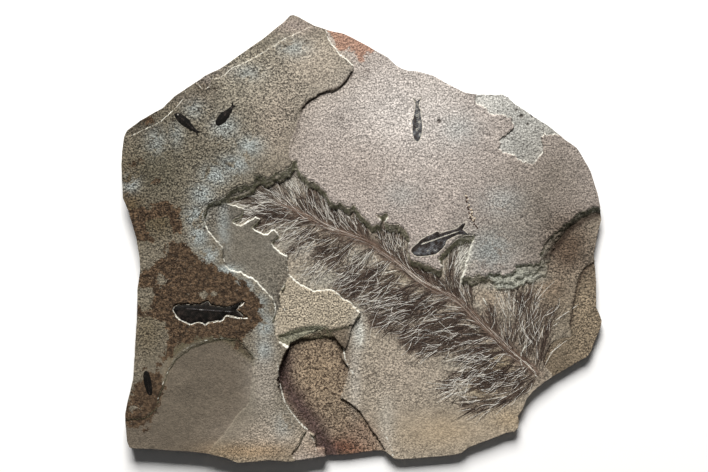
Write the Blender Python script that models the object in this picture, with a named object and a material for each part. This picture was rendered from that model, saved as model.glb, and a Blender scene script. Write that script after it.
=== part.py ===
"""Fossil mural: a stepped slab of laminated lake limestone with a long feathery
plant, six herring-like fish and a short run of backbone.

The slab lies on its flat back. +Z points out of the picture face, +Y is the
picture's top and +X its right. The origin lies under the middle of the slab.
Outlines are drawn in millimetres on the picture face, and heights are
millimetres above the flat back.
"""

import math
import random

import bmesh
import bpy
from mathutils import Matrix, Vector

MM = 0.001
GAP = 0.3
WELD_DISTANCE = 0.00001

# The middle of the slab's extent on the picture face
MIDDLE_X = -3.0
MIDDLE_Y = -0.5

# Bedding planes that the face is cut down to
LEFT_PLATE = 30.0
RIGHT_PLATE = 26.0
TAN_PLATE = 24.0
GREY_RECESS = 23.0
SLOPING_BAND = 20.0
SMALL_TRIANGLE = 21.0
UPPER_LEDGE = 22.0
LOWER_LEDGE = 19.5
FROND_BED = 17.0
EDGE_LENS = 16.2
RIGHT_STRIP = 15.4
DEEP_FLOOR = 12.0
EDGE_STRIP = 27.0
ROUND_RECESS = 27.4
PALE_PATCH = 23.4
PALE_FOOT = 25.5

# Layers of rock, each as its lowest and highest level and how far its rim is weathered back
STRATA = ((0.0, 7.5, 4.6), (7.0, 14.9, 1.8), (14.2, 22.6, 0.0), (22.1, 30.0, 1.2))
RIM_SEED = 11

CUTTER_TOP = LEFT_PLATE + 5.0

# The plant's skins
BRANCH_THICKNESS = 1.1
STEM_THICKNESS = 1.9
STEM_BASE_HALF_WIDTH = 4.6
STEM_TIP_HALF_WIDTH = 1.2
STEM_TAPER_POWER = 0.8
STRAND_PITCH = 12.0
STRAND_LEAD = 6.0
STRAND_GAP = 0.5
WALL_GAP = 0.8
NARROWEST = 0.4
EDGE_TESTS = (0.25, 0.5, 0.75, 1.0)

# A side spray: its half width where it leaves the stem, its fewest teeth and how they sit in their pitch
FORK_HALF_WIDTH = 1.3
FORK_CLEARANCE = 1.1
FEWEST_TEETH = 3
TIP_SHARE = 0.6
TOOTH_START = 0.35
TOOTH_LEAD_SHARE = 0.75
NOTCH_SHARE = 0.62

# How a spray swells and narrows from fork to tip, as a stretch of a sine's half wave
SWELL_START = 0.16
SWELL_SPAN = 0.74
SWELL_POWER = 0.8

# Steps, in millimetres, of the searches for a fork's start and for a width that fits
START_STEP = 0.5
WIDTH_STEP = 0.5

# A fish: its plate of fins and tail, and its rounded flank as shares of length and half depth
FISH_PLATE = 1.0
SMALL_FISH_PLATE = 0.7
FLANK_CENTRE = 0.43
FLANK_HALF_LENGTH = 0.40
FLANK_HALF_DEPTH = 0.86
FLANK_SINK = 0.35
FLANK_SEGMENTS = 14
FLANK_RINGS = 8
FLANK_CUT = 0.1

# The loose vertebrae and the thin strip that joins them
BEAD_RADIUS = 1.9
BEAD_TOP_SHARE = 0.7
BEAD_PITCH = 4.6
BEAD_HEIGHT = 1.0
BEAD_SIDES = 8
BEAD_SINK = 0.1
BEAD_SWAY = 0.7
STRIP_HALF_WIDTH = 0.8
STRIP_THICKNESS = 0.5
STRIP_STEPS = 8

SLAB_OUTLINE = (
    (-113, 358), (-105, 355), (-80, 341), (-52, 332), (-32, 328), (-8, 316), (10, 306), (38, 290),
    (52, 277), (60, 272), (70, 269), (85, 268), (110, 261), (130, 250), (160, 234), (180, 231),
    (222, 231), (232, 226), (240, 217), (262, 202), (280, 190), (303, 175), (320, 160), (340, 146),
    (350, 130), (363, 107), (374, 72), (379, 45), (381, 30), (376, 12), (369, -25), (373, -70),
    (373, -110), (378, -120), (382, -132), (380, -143), (369, -167), (365, -180), (358, -190),
    (338, -201), (305, -220), (290, -230), (272, -245), (262, -257), (254, -275), (247, -285),
    (249, -295), (247, -305), (240, -310), (228, -312), (203, -322), (170, -334), (157, -344),
    (145, -347), (115, -350), (65, -354), (50, -354), (36, -343), (28, -340), (15, -341), (-30, -347),
    (-60, -348), (-95, -353), (-120, -357), (-150, -354), (-202, -359), (-220, -351), (-250, -344),
    (-280, -341), (-340, -337), (-375, -335), (-379, -325), (-382, -295), (-382, -280), (-376, -252),
    (-369, -225), (-366, -165), (-363, -125), (-362, -80), (-358, -50), (-359, -30), (-364, 0),
    (-376, 42), (-386, 65), (-388, 120), (-387, 140), (-383, 165), (-379, 173), (-358, 189),
    (-322, 209), (-304, 227), (-280, 243), (-254, 261), (-230, 272), (-200, 293), (-160, 321),
    (-128, 347), (-118, 357),
)

RIGHT_PLATE_OUTLINE = (
    (-64, 400), (-64, 352), (-62, 336), (-57, 320), (-50, 310), (-42, 299), (-35, 291), (-25, 283),
    (-18, 278), (-18, 268), (-21, 262), (-25, 255), (-33, 243), (-40, 238), (-45, 235), (-65, 233),
    (-72, 230), (-80, 224), (-88, 220), (-95, 214), (-99, 207), (-104, 190), (-108, 180), (-113, 167),
    (-117, 155), (-120, 143), (-118, 130), (-110, 118), (-100, 90), (-60, 40), (20, 0), (60, -20),
    (90, -60), (150, -90), (300, -65), (430, 0), (430, 400),
)

FROND_BED_OUTLINE = (
    (-224, 60), (-212, 66), (-200, 70), (-188, 75), (-179, 82), (-172, 90), (-162, 97), (-152, 93),
    (-143, 101), (-137, 101), (-123, 113), (-116, 118), (-109, 126), (-106, 122), (-107, 112),
    (-94, 99), (-87, 88), (-75, 88), (-71, 80), (-61, 73), (-56, 61), (-48, 53), (-39, 56), (-24, 51),
    (-15, 55), (-9, 45), (4, 31), (14, 22), (27, 20), (28, 29), (19, 39), (28, 37), (36, 41), (34, 27),
    (40, 23), (56, 23), (68, 12), (73, 1), (72, -10), (71, -22), (75, -33), (88, -38), (102, -43),
    (113, -48), (121, -51), (125, -45), (118, -31), (124, -25), (134, -14), (146, -4), (158, 4),
    (168, 6), (178, 5), (172, -9), (168, -29), (161, -55), (157, -63), (170, -61), (184, -58),
    (198, -63), (206, -74), (214, -81), (228, -83), (243, -79), (258, -73), (284, -62), (294, -50),
    (299, -35), (300, -20), (306, -8), (318, 8), (334, 22), (351, 34), (366, 41), (430, 46),
    (430, -400), (25, -400), (22, -350), (12, -325), (-5, -296), (-25, -276), (-44, -264), (-46, -240),
    (-38, -215), (-42, -200), (-46, -188), (-38, -180), (-31, -181), (-25, -165), (-19, -140),
    (-11, -127), (-8, -122), (-16, -109), (-23, -101), (-34, -96), (-43, -87), (-52, -82), (-68, -83),
    (-81, -85), (-100, -75), (-112, -66), (-120, -57), (-124, -41), (-124, -27), (-131, -24),
    (-138, -19), (-144, -13), (-148, -6), (-143, 0), (-138, 6), (-143, 14), (-148, 12), (-154, 7),
    (-160, 7), (-168, 10), (-176, 14), (-181, 19), (-175, 23), (-170, 28), (-167, 32), (-175, 34),
    (-180, 30), (-188, 26), (-197, 22), (-203, 22), (-209, 25), (-212, 30), (-205, 34), (-197, 38),
    (-192, 47), (-198, 50), (-208, 53), (-218, 56),
)

GREY_RECESS_OUTLINE = (
    (-250, 55), (-240, 61), (-230, 63), (-222, 68), (-212, 78), (-200, 84), (-190, 87), (-182, 85),
    (-175, 88), (-173, 97), (-177, 104), (-163, 101), (-154, 97), (-143, 104), (-140, 109),
    (-136, 104), (-123, 114), (-117, 110), (-110, 60), (-105, 0), (-105, -60), (-120, -63),
    (-132, -80), (-136, -90), (-135, -101), (-134, -109), (-138, -116), (-144, -132), (-143, -115),
    (-146, -98), (-149, -93), (-162, -81), (-171, -69), (-177, -64), (-192, -58), (-198, -54),
    (-211, -52), (-217, -48), (-222, -44), (-226, -30), (-225, -15), (-235, -4), (-246, 7),
    (-254, 20), (-256, 36), (-252, 46),
)

TAN_PLATE_OUTLINE = (
    (-115, -50), (-80, -70), (-50, -70), (-15, -95), (0, -125), (-10, -145), (-28, -168), (-42, -176),
    (-60, -156), (-90, -162), (-120, -176), (-136, -166), (-143, -152), (-145, -133), (-140, -118),
    (-137, -100), (-134, -84), (-122, -66),
)

SLOPING_BAND_OUTLINE = (
    (-58, -142), (-80, -139), (-110, -144), (-138, -156), (-135, -165), (-119, -173), (-95, -165),
    (-60, -153),
)

SMALL_TRIANGLE_OUTLINE = (
    (-61, -147), (-52, -144), (-36, -142), (-19, -139), (-15, -150), (-22, -176), (-31, -184),
    (-46, -176), (-62, -156),
)

DEEP_RECESS_OUTLINE = (
    (-60, -144), (-75, -148), (-90, -155), (-105, -162), (-118, -169), (-122, -177), (-128, -188),
    (-132, -200), (-136, -213), (-139, -226), (-137, -240), (-135, -248), (-124, -264), (-110, -283),
    (-95, -303), (-89, -310), (-80, -312), (-78, -325), (-77, -334), (-62, -336), (-60, -400),
    (42, -400), (42, -349), (36, -343), (24, -325), (8, -301), (-5, -280), (-20, -268), (-30, -261),
    (-37, -257), (-37, -251), (-34, -243), (-30, -232), (-26, -220), (-24, -211), (-25, -205),
    (-30, -200), (-36, -193), (-37, -187), (-31, -181), (-44, -163), (-52, -152),
)

PALE_FOOT_OUTLINE = (
    (-100, -318), (-91, -306), (-70, -325), (-55, -340), (-58, -380), (-112, -380), (-110, -352),
    (-115, -345), (-105, -330),
)

ROUND_RECESS_OUTLINE = (
    (-410, -292), (-350, -285), (-333, -272), (-330, -262), (-326, -245), (-320, -230), (-314, -213),
    (-308, -203), (-300, -191), (-290, -182), (-278, -174), (-265, -168), (-250, -163), (-235, -160),
    (-220, -158), (-205, -160), (-190, -172), (-178, -186), (-177, -205), (-179, -225), (-184, -260),
    (-190, -270), (-205, -285), (-215, -300), (-225, -315), (-240, -328), (-250, -345), (-255, -400),
    (-410, -400),
)

RIGHT_STRIP_OUTLINE = (
    (430, -34), (369, -38), (358, -44), (350, -52), (344, -62), (341, -80), (338, -100), (334, -120),
    (331, -138), (333, -165), (330, -175), (325, -185), (320, -197), (313, -208), (306, -218),
    (300, -260), (430, -260),
)

EDGE_LENS_OUTLINE = (
    (338, -160), (322, -158), (308, -163), (300, -168), (295, -176), (290, -185), (288, -195),
    (290, -203), (295, -210), (301, -217), (308, -240), (325, -225), (342, -185),
)

PALE_PATCH_OUTLINE = (
    (172, 260), (180, 231), (178, 222), (180, 217), (190, 212), (195, 205), (203, 201), (222, 200),
    (230, 196), (237, 190), (240, 182), (236, 172), (228, 166), (218, 160), (215, 156), (218, 143),
    (222, 138), (232, 135), (240, 133), (245, 127), (255, 122), (272, 120), (277, 124), (286, 137),
    (284, 145), (286, 152), (282, 163), (288, 168), (303, 170), (312, 165), (340, 190), (260, 270),
)

UPPER_LEDGE_OUTLINE = (
    (196, -56), (205, -57), (218, -57), (239, -54), (245, -46), (258, -40), (279, -37), (284, -21),
    (288, -9), (301, 5), (319, 20), (334, 32), (351, 43), (368, 49), (430, 54), (430, 30), (350, 20),
    (310, -20), (300, -60), (250, -85), (206, -82), (198, -68),
)

LOWER_LEDGE_OUTLINE = (
    (203, -70), (222, -73), (240, -68), (258, -59), (275, -50), (288, -36), (293, -16), (303, -2),
    (318, 13), (334, 27), (351, 38), (366, 45), (430, 50), (430, 20), (350, 15), (312, -25),
    (302, -65), (250, -88), (208, -86),
)

EDGE_STRIP_OUTLINE = (
    (-420, 165), (-379, 163), (-370, 165), (-355, 173), (-340, 179), (-330, 183), (-318, 194),
    (-308, 203), (-300, 210), (-293, 218), (-289, 222), (-288, 228), (-285, 236), (-283, 243),
    (-292, 262), (-340, 240), (-420, 190),
)

EDGE_NOTCH_OUTLINE = (
    (-268, 249), (-262, 243), (-257, 239), (-250, 241), (-244, 246), (-245, 254), (-252, 275),
    (-278, 266),
)

PEAK_STRIP_OUTLINE = (
    (-254, 263), (-246, 257), (-240, 255), (-228, 260), (-215, 269), (-200, 278), (-180, 287),
    (-160, 298), (-145, 307), (-130, 318), (-115, 325), (-100, 332), (-85, 338), (-68, 337),
    (-70, 380), (-220, 350), (-275, 280),
)

# The large left fish and the trench that was cut round it, both along the back and home along the belly
LEFT_FISH_TRENCH = (
    (-307, -112), (-303, -106), (-297, -104.3), (-285, -104), (-272, -105.2), (-259, -103.6),
    (-249.5, -99.5), (-245.5, -104.8), (-238, -107), (-225, -108.6), (-213, -108.4), (-206, -105),
    (-199, -101.8), (-191.5, -100.6), (-194, -105), (-199, -110), (-203, -114), (-198, -118),
    (-191, -123.5), (-186, -127), (-190, -128.6), (-201, -127.6), (-210, -124.6), (-217, -123),
    (-221.5, -124.4), (-225, -130), (-228, -132.4), (-236, -132), (-245, -134), (-250, -135),
    (-254, -139), (-258, -136), (-263, -134.6), (-272, -136), (-277, -138.6), (-285, -134.6),
    (-294, -131), (-301, -124),
)
LEFT_FISH_OUTLINE = (
    (-305, -114), (-301.5, -108.5), (-295, -106.6), (-285, -106.3), (-272, -107.4), (-259, -106),
    (-249.6, -101.4), (-246.5, -107), (-238, -109), (-225, -110.6), (-213, -110.2), (-205.5, -106.6),
    (-199, -103.4), (-194.6, -102.2), (-200, -108.2), (-204.6, -114), (-199, -119.8), (-193.4, -124.6),
    (-194, -126.6), (-203, -125.6), (-210, -123.2), (-217, -121.6), (-222.8, -122.8), (-226.6, -130),
    (-228.5, -131), (-236, -130.7), (-245, -132.7), (-250.4, -133.7), (-254, -137.2), (-257.4, -134.6),
    (-263, -133.2), (-272, -134.6), (-277, -137), (-284.6, -133.2), (-293.2, -129.6), (-300, -123),
)

# The large fish at the plant's upper edge, and the shallow pocket that runs out into the plant's bed
BY_FROND_OUTLINE = (
    (75, -20), (77, -15), (81, -12), (86, -8), (90, -3), (95, 0), (100, 3), (108, 6), (117, 11.5),
    (122, 7.5), (132, 11), (140, 13), (148, 15.5), (154, 20), (165, 28.5), (157.5, 14), (165, 7.5),
    (160, 7), (150, 6), (143, 3), (135, -1), (131, -4), (130, -10), (126, -15), (120, -21),
    (114, -25), (104, -27), (95, -28), (85, -28.5), (80, -26),
)
BY_FROND_POCKET = (
    (72, -20), (74, -13), (79, -9), (84, -5), (88, 0), (94, 4), (107, 10), (117, 14.5), (123, 11),
    (139, 16), (146, 18), (152, 23), (164, 33), (169, 30), (161, 15), (169, 10), (170, 1), (158, -1),
    (150, -6), (138, -16), (128, -26), (121, -34), (104, -31), (94, -31.5), (84, -32), (77, -28),
)

STEM_ROUTE = (
    (283, -219), (261, -202), (241, -187), (224, -172), (209, -156), (194, -141), (180, -128),
    (168, -116), (156, -104), (145, -95), (130, -88), (115, -82), (100, -74), (86, -65), (72, -54),
    (58, -42), (44, -32), (31, -23), (18, -12), (4, -4), (-12, 2), (-30, 8), (-50, 15), (-68, 24),
    (-86, 33), (-104, 42), (-122, 51), (-140, 57),
)

# Each side spray as its route from fork to tip, and half its greatest width
BRANCHES = (
    (((-143, 58), (-175, 60), (-212, 61)), 9),
    (((-129, 54), (-150, 68), (-174, 78)), 8),
    (((-109, 46), (-127, 66), (-146, 86)), 9),
    (((-82, 32), (-98, 64), (-112, 108)), 13),
    (((-60, 22), (-73, 44), (-82, 74)), 10),
    (((-40, 13), (-52, 32), (-63, 58)), 8),
    (((-17, 5), (-32, 26), (-43, 44)), 8),
    (((8, -4), (-6, 14), (-18, 42)), 9),
    (((44, -30), (36, -10), (29, 15)), 9),
    (((74, -54), (62, -28), (50, 10)), 10),
    (((104, -75), (96, -62), (84, -50)), 8),
    (((134, -88), (126, -76), (113, -64)), 8),
    (((150, -97), (143, -70), (147, -40), (164, -4)), 12),
    (((172, -119), (166, -102), (159, -84)), 10),
    (((212, -158), (208, -140), (204, -116)), 9),
    (((238, -184), (236, -150), (241, -115), (244, -88)), 12),
    (((258, -198), (262, -160), (264, -125), (268, -84)), 12),
    (((279, -214), (284, -180), (290, -145), (302, -112)), 12),
    (((-118, 48), (-160, 43), (-203, 29)), 9),
    (((-98, 38), (-135, 28), (-174, 19)), 9),
    (((-76, 27), (-110, 10), (-143, -7)), 10),
    (((-54, 15), (-85, 0), (-120, -20)), 9),
    (((-34, 8), (-60, -18), (-98, -42)), 9),
    (((-12, 1), (-38, -27), (-80, -60)), 10),
    (((16, -12), (-8, -42), (-48, -70)), 11),
    (((42, -32), (12, -58), (-36, -86)), 11),
    (((66, -50), (30, -76), (-20, -98)), 11),
    (((90, -70), (55, -92), (0, -112)), 10),
    (((114, -83), (80, -104), (14, -130)), 10),
    (((142, -94), (105, -110), (70, -128), (30, -146)), 10),
    (((170, -119), (140, -128), (100, -142), (60, -160)), 11),
    (((191, -140), (150, -146), (110, -158), (72, -174)), 9),
    (((206, -154), (170, -161), (130, -171), (88, -180)), 8),
    (((220, -169), (190, -178), (168, -188), (150, -200)), 8),
    (((232, -181), (200, -197), (172, -210), (138, -225)), 9),
    (((246, -192), (212, -215), (170, -234), (128, -246)), 9),
    (((264, -206), (236, -222), (210, -232), (186, -238)), 8),
    (((277, -217), (250, -240), (215, -258), (158, -270)), 12),
)

# One fish of unit length and unit half depth, along the back from snout to tail and home along the belly
FISH_OUTLINE = (
    (0.0, 0.0), (0.05, 0.42), (0.14, 0.76), (0.28, 0.97), (0.40, 1.0), (0.46, 1.32), (0.55, 0.88),
    (0.68, 0.66), (0.80, 0.42), (0.90, 0.34), (1.10, 1.15), (1.0, 0.0), (1.10, -1.12), (0.90, -0.36),
    (0.82, -0.48), (0.77, -0.95), (0.66, -0.76), (0.54, -1.0), (0.50, -1.36), (0.42, -1.06),
    (0.27, -1.04), (0.23, -1.3), (0.15, -0.86), (0.06, -0.46),
)
TAILLESS_OUTLINE = (
    (0.0, 0.0), (0.06, 0.45), (0.2, 0.85), (0.42, 1.0), (0.64, 0.86), (0.84, 0.52), (0.97, 0.2),
    (0.95, -0.2), (0.82, -0.55), (0.62, -0.85), (0.40, -0.98), (0.18, -0.82), (0.05, -0.42),
)

# Half of a pocket's outline in the same units, from the snout to the tail
POCKET_OUTLINE = (
    (-0.04, 0.0), (0.0, 0.6), (0.1, 1.2), (0.26, 1.6), (0.5, 1.8), (0.8, 1.35), (1.0, 1.45),
    (1.15, 1.4), (1.13, 0.0),
)
TAILLESS_POCKET = (
    (-0.06, 0.0), (0.0, 0.7), (0.2, 1.2), (0.5, 1.35), (0.8, 1.15), (1.02, 0.6), (1.06, 0.0),
)

BACKBONE_ROUTE = ((162, 70), (166, 58), (170, 48), (172, 40), (175, 32), (177, 25), (181, 18))


def clear_scene():
    """Remove every object of the open file."""
    for item in list(bpy.data.objects):
        bpy.data.objects.remove(item, do_unlink=True)


def new_collection(name):
    """Make a collection under the scene and return it."""
    collection = bpy.data.collections.new(name)
    bpy.context.scene.collection.children.link(collection)
    return collection


def plain_material(name, colour, roughness):
    """Make a rock or fossil finish and return it."""
    material = bpy.data.materials.new(name)
    material.use_nodes = True
    shader = material.node_tree.nodes["Principled BSDF"]
    shader.inputs["Base Color"].default_value = (*colour, 1.0)
    shader.inputs["Roughness"].default_value = roughness
    shader.inputs["Metallic"].default_value = 0.0
    return material


def placed(point):
    """Move a point of the picture face into the part's own frame, still in millimetres."""
    return Vector((point[0] - MIDDLE_X, point[1] - MIDDLE_Y))


def signed_area(outline):
    """Return twice the area of an outline, positive if it runs anticlockwise."""
    total = 0.0
    for index, point in enumerate(outline):
        following = outline[(index + 1) % len(outline)]
        total += point[0] * following[1] - following[0] * point[1]
    return total


def weld_and_turn_out(mesh):
    """Weld a mesh's doubles and turn its faces outwards."""
    shape = bmesh.new()
    shape.from_mesh(mesh)
    bmesh.ops.remove_doubles(shape, verts=shape.verts, dist=WELD_DISTANCE)
    bmesh.ops.recalc_face_normals(shape, faces=shape.faces)
    shape.to_mesh(mesh)
    shape.free()


def flat_solid(name, outline, low, high, collection):
    """Extrude an outline of the picture face between two levels and return the mesh object."""
    curve = bpy.data.curves.new(name + "_outline", "CURVE")
    curve.dimensions = "2D"
    curve.fill_mode = "BOTH"
    curve.extrude = (high - low) / 2 * MM
    spline = curve.splines.new("POLY")
    spline.points.add(len(outline) - 1)
    for control, point in zip(spline.points, outline):
        spot = placed(point)
        control.co = (spot.x * MM, spot.y * MM, 0.0, 1.0)
    spline.use_cyclic_u = True
    drawn = bpy.data.objects.new(name + "_outline", curve)
    drawn.location.z = (low + high) / 2 * MM
    collection.objects.link(drawn)
    bpy.context.view_layer.update()
    evaluated = drawn.evaluated_get(bpy.context.evaluated_depsgraph_get())
    mesh = bpy.data.meshes.new_from_object(evaluated)
    mesh.name = name
    weld_and_turn_out(mesh)
    solid = bpy.data.objects.new(name, mesh)
    solid.matrix_world = drawn.matrix_world
    collection.objects.link(solid)
    bpy.data.objects.remove(drawn, do_unlink=True)
    bpy.data.curves.remove(curve)
    return solid


def hide_as_cutter(item):
    """Show an object as a wire guide that no build reads."""
    item.hide_render = True
    item.display_type = "WIRE"
    return item


def combine(target, other, operation):
    """Add an exact boolean to an object and return the object."""
    modifier = target.modifiers.new(operation.title() + "_" + other.name, "BOOLEAN")
    modifier.operation = operation
    modifier.solver = "EXACT"
    modifier.object = other
    return target


def weathered_rim(outline, inset, dice):
    """Return an outline drawn in towards its middle by an uneven distance."""
    if inset == 0.0:
        return outline
    turn = 1.0 if signed_area(outline) > 0.0 else -1.0
    rim = []
    for index, point in enumerate(outline):
        before = Vector(outline[index - 1])
        after = Vector(outline[(index + 1) % len(outline)])
        along = (after - before).normalized()
        inwards = Vector((-along.y, along.x)) * turn
        distance = inset * dice.uniform(0.5, 1.5)
        rim.append(tuple(Vector(point) + inwards * distance))
    return rim


def recesses():
    """Return the cuts into the face, as name, floor level and outline."""
    return (
        ("right_plate", RIGHT_PLATE, RIGHT_PLATE_OUTLINE),
        ("grey_recess", GREY_RECESS, GREY_RECESS_OUTLINE),
        ("tan_plate", TAN_PLATE, TAN_PLATE_OUTLINE),
        ("sloping_band", SLOPING_BAND, SLOPING_BAND_OUTLINE),
        ("small_triangle", SMALL_TRIANGLE, SMALL_TRIANGLE_OUTLINE),
        ("upper_ledge", UPPER_LEDGE, UPPER_LEDGE_OUTLINE),
        ("lower_ledge", LOWER_LEDGE, LOWER_LEDGE_OUTLINE),
        ("frond_bed", FROND_BED, FROND_BED_OUTLINE),
        ("edge_lens", EDGE_LENS, EDGE_LENS_OUTLINE),
        ("right_strip", RIGHT_STRIP, RIGHT_STRIP_OUTLINE),
        ("deep_recess", DEEP_FLOOR, DEEP_RECESS_OUTLINE),
        ("pale_foot", PALE_FOOT, PALE_FOOT_OUTLINE),
        ("round_recess", ROUND_RECESS, ROUND_RECESS_OUTLINE),
        ("pale_patch", PALE_PATCH, PALE_PATCH_OUTLINE),
        ("edge_strip", EDGE_STRIP, EDGE_STRIP_OUTLINE),
        ("edge_notch", RIGHT_PLATE, EDGE_NOTCH_OUTLINE),
        ("peak_strip", EDGE_STRIP, PEAK_STRIP_OUTLINE),
    )


class FishPlan:
    """Where one fish lies, how deep its body is, and the floor of its pocket."""

    def __init__(self, snout, tail, half_depth, floor, rise=0.0, lean=0.0, with_tail=True):
        self.snout = Vector(snout)
        self.half_depth = half_depth
        self.floor = floor
        self.rise = rise
        self.lean = lean
        self.with_tail = with_tail
        self.along = Vector(tail) - self.snout
        self.length = self.along.length
        self.along.normalize()
        self.across = Vector((-self.along.y, self.along.x))

    def spot(self, share, side):
        """Return the place at a share of the length and of the half depth."""
        return self.snout + self.along * (self.length * share) + self.across * (self.half_depth * side)

    def outline(self):
        """Return the fish's outline on the picture face."""
        pattern = FISH_OUTLINE if self.with_tail else TAILLESS_OUTLINE
        return [tuple(self.spot(share, side)) for share, side in pattern]

    def pocket(self):
        """Return a plain outline that clears the fish on every side."""
        pattern = POCKET_OUTLINE if self.with_tail else TAILLESS_POCKET
        both_sides = list(pattern) + [(share, -side) for share, side in reversed(pattern[1:-1])]
        return [tuple(self.spot(share, side)) for share, side in both_sides]


# The rise is the flank's height over its plate, and the lean how far its middle lies towards the back
FISH = {
    "fish_left": FishPlan((-305, -114), (-204, -114), 13.0, 26.8, rise=2.2, lean=-5.3),
    "fish_by_frond": FishPlan((75, -20), (157.5, 14), 14.2, 24.4, rise=2.6, lean=-3.2),
    "fish_top": FishPlan((85, 155), (85, 220), 7.6, 24.8, rise=2.1),
    "fish_small_upper_a": FishPlan((-302, 200), (-265, 168.5), 6.6, 28.6),
    "fish_small_upper_b": FishPlan((-236, 181), (-208, 213), 6.8, 28.6),
    "fish_small_lower": FishPlan((-349, -211), (-342, -251), 6.0, 28.6, with_tail=False),
}
OWN_OUTLINES = {"fish_left": LEFT_FISH_OUTLINE, "fish_by_frond": BY_FROND_OUTLINE}
OWN_POCKETS = {"fish_left": LEFT_FISH_TRENCH, "fish_by_frond": BY_FROND_POCKET}


def build_slab(parts, cutters, material):
    """Build the stepped stone slab as one solid."""
    dice = random.Random(RIM_SEED)
    slab = None
    for number, (low, high, inset) in enumerate(STRATA, start=1):
        outline = weathered_rim(SLAB_OUTLINE, inset, dice)
        if slab is None:
            slab = flat_solid("stone_slab", outline, low, high, parts)
            continue
        layer = flat_solid("layer_%d" % number, outline, low, high, cutters)
        combine(slab, hide_as_cutter(layer), "UNION")
    for name, floor, outline in recesses():
        cutter = flat_solid("cut_" + name, outline, floor, CUTTER_TOP, cutters)
        combine(slab, hide_as_cutter(cutter), "DIFFERENCE")
    for name, plan in FISH.items():
        outline = OWN_POCKETS.get(name) or plan.pocket()
        cutter = flat_solid("pocket_" + name, outline, plan.floor, CUTTER_TOP, cutters)
        combine(slab, hide_as_cutter(cutter), "DIFFERENCE")
    slab.data.materials.append(material)
    return slab


def segments(route, closed=False):
    """Return the straight stretches of a route."""
    ends = list(route[1:])
    starts = list(route[:-1])
    if closed:
        starts.append(route[-1])
        ends.append(route[0])
    return [(Vector(start), Vector(end)) for start, end in zip(starts, ends)]


def distance_to(point, stretches):
    """Return the shortest distance from a point to a list of straight stretches."""
    best = math.inf
    for start, end in stretches:
        span = end - start
        share = max(0.0, min(1.0, (point - start).dot(span) / span.length_squared))
        best = min(best, (point - start - span * share).length)
    return best


def is_inside(point, stretches):
    """Tell whether a point lies inside a closed outline."""
    inside = False
    for start, end in stretches:
        if (start.y > point.y) != (end.y > point.y):
            crossing = start.x + (point.y - start.y) / (end.y - start.y) * (end.x - start.x)
            if point.x < crossing:
                inside = not inside
    return inside


def point_along(route, distance):
    """Return the point at a distance along a route, and the route's direction there."""
    for start, end in segments(route):
        span = (end - start).length
        if distance <= span:
            return start.lerp(end, distance / span), (end - start) / span
        distance -= span
    start, end = segments(route)[-1]
    return end.copy(), (end - start).normalized()


def route_length(route):
    """Return the length of a route."""
    return sum((end - start).length for start, end in segments(route))


def smooth_route(route, rounds=2):
    """Return a route with its corners cut, as a fine smooth line with the same ends."""
    line = [Vector(point) for point in route]
    for _ in range(rounds):
        finer = [line[0]]
        for start, end in zip(line[:-1], line[1:]):
            finer.append(start.lerp(end, 0.25))
            finer.append(start.lerp(end, 0.75))
        finer.append(line[-1])
        line = finer
    return line


def stem_half_width(share):
    """Return half the stem's width at a share of its length from the base."""
    return STEM_BASE_HALF_WIDTH + (STEM_TIP_HALF_WIDTH - STEM_BASE_HALF_WIDTH) * share ** STEM_TAPER_POWER


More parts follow.
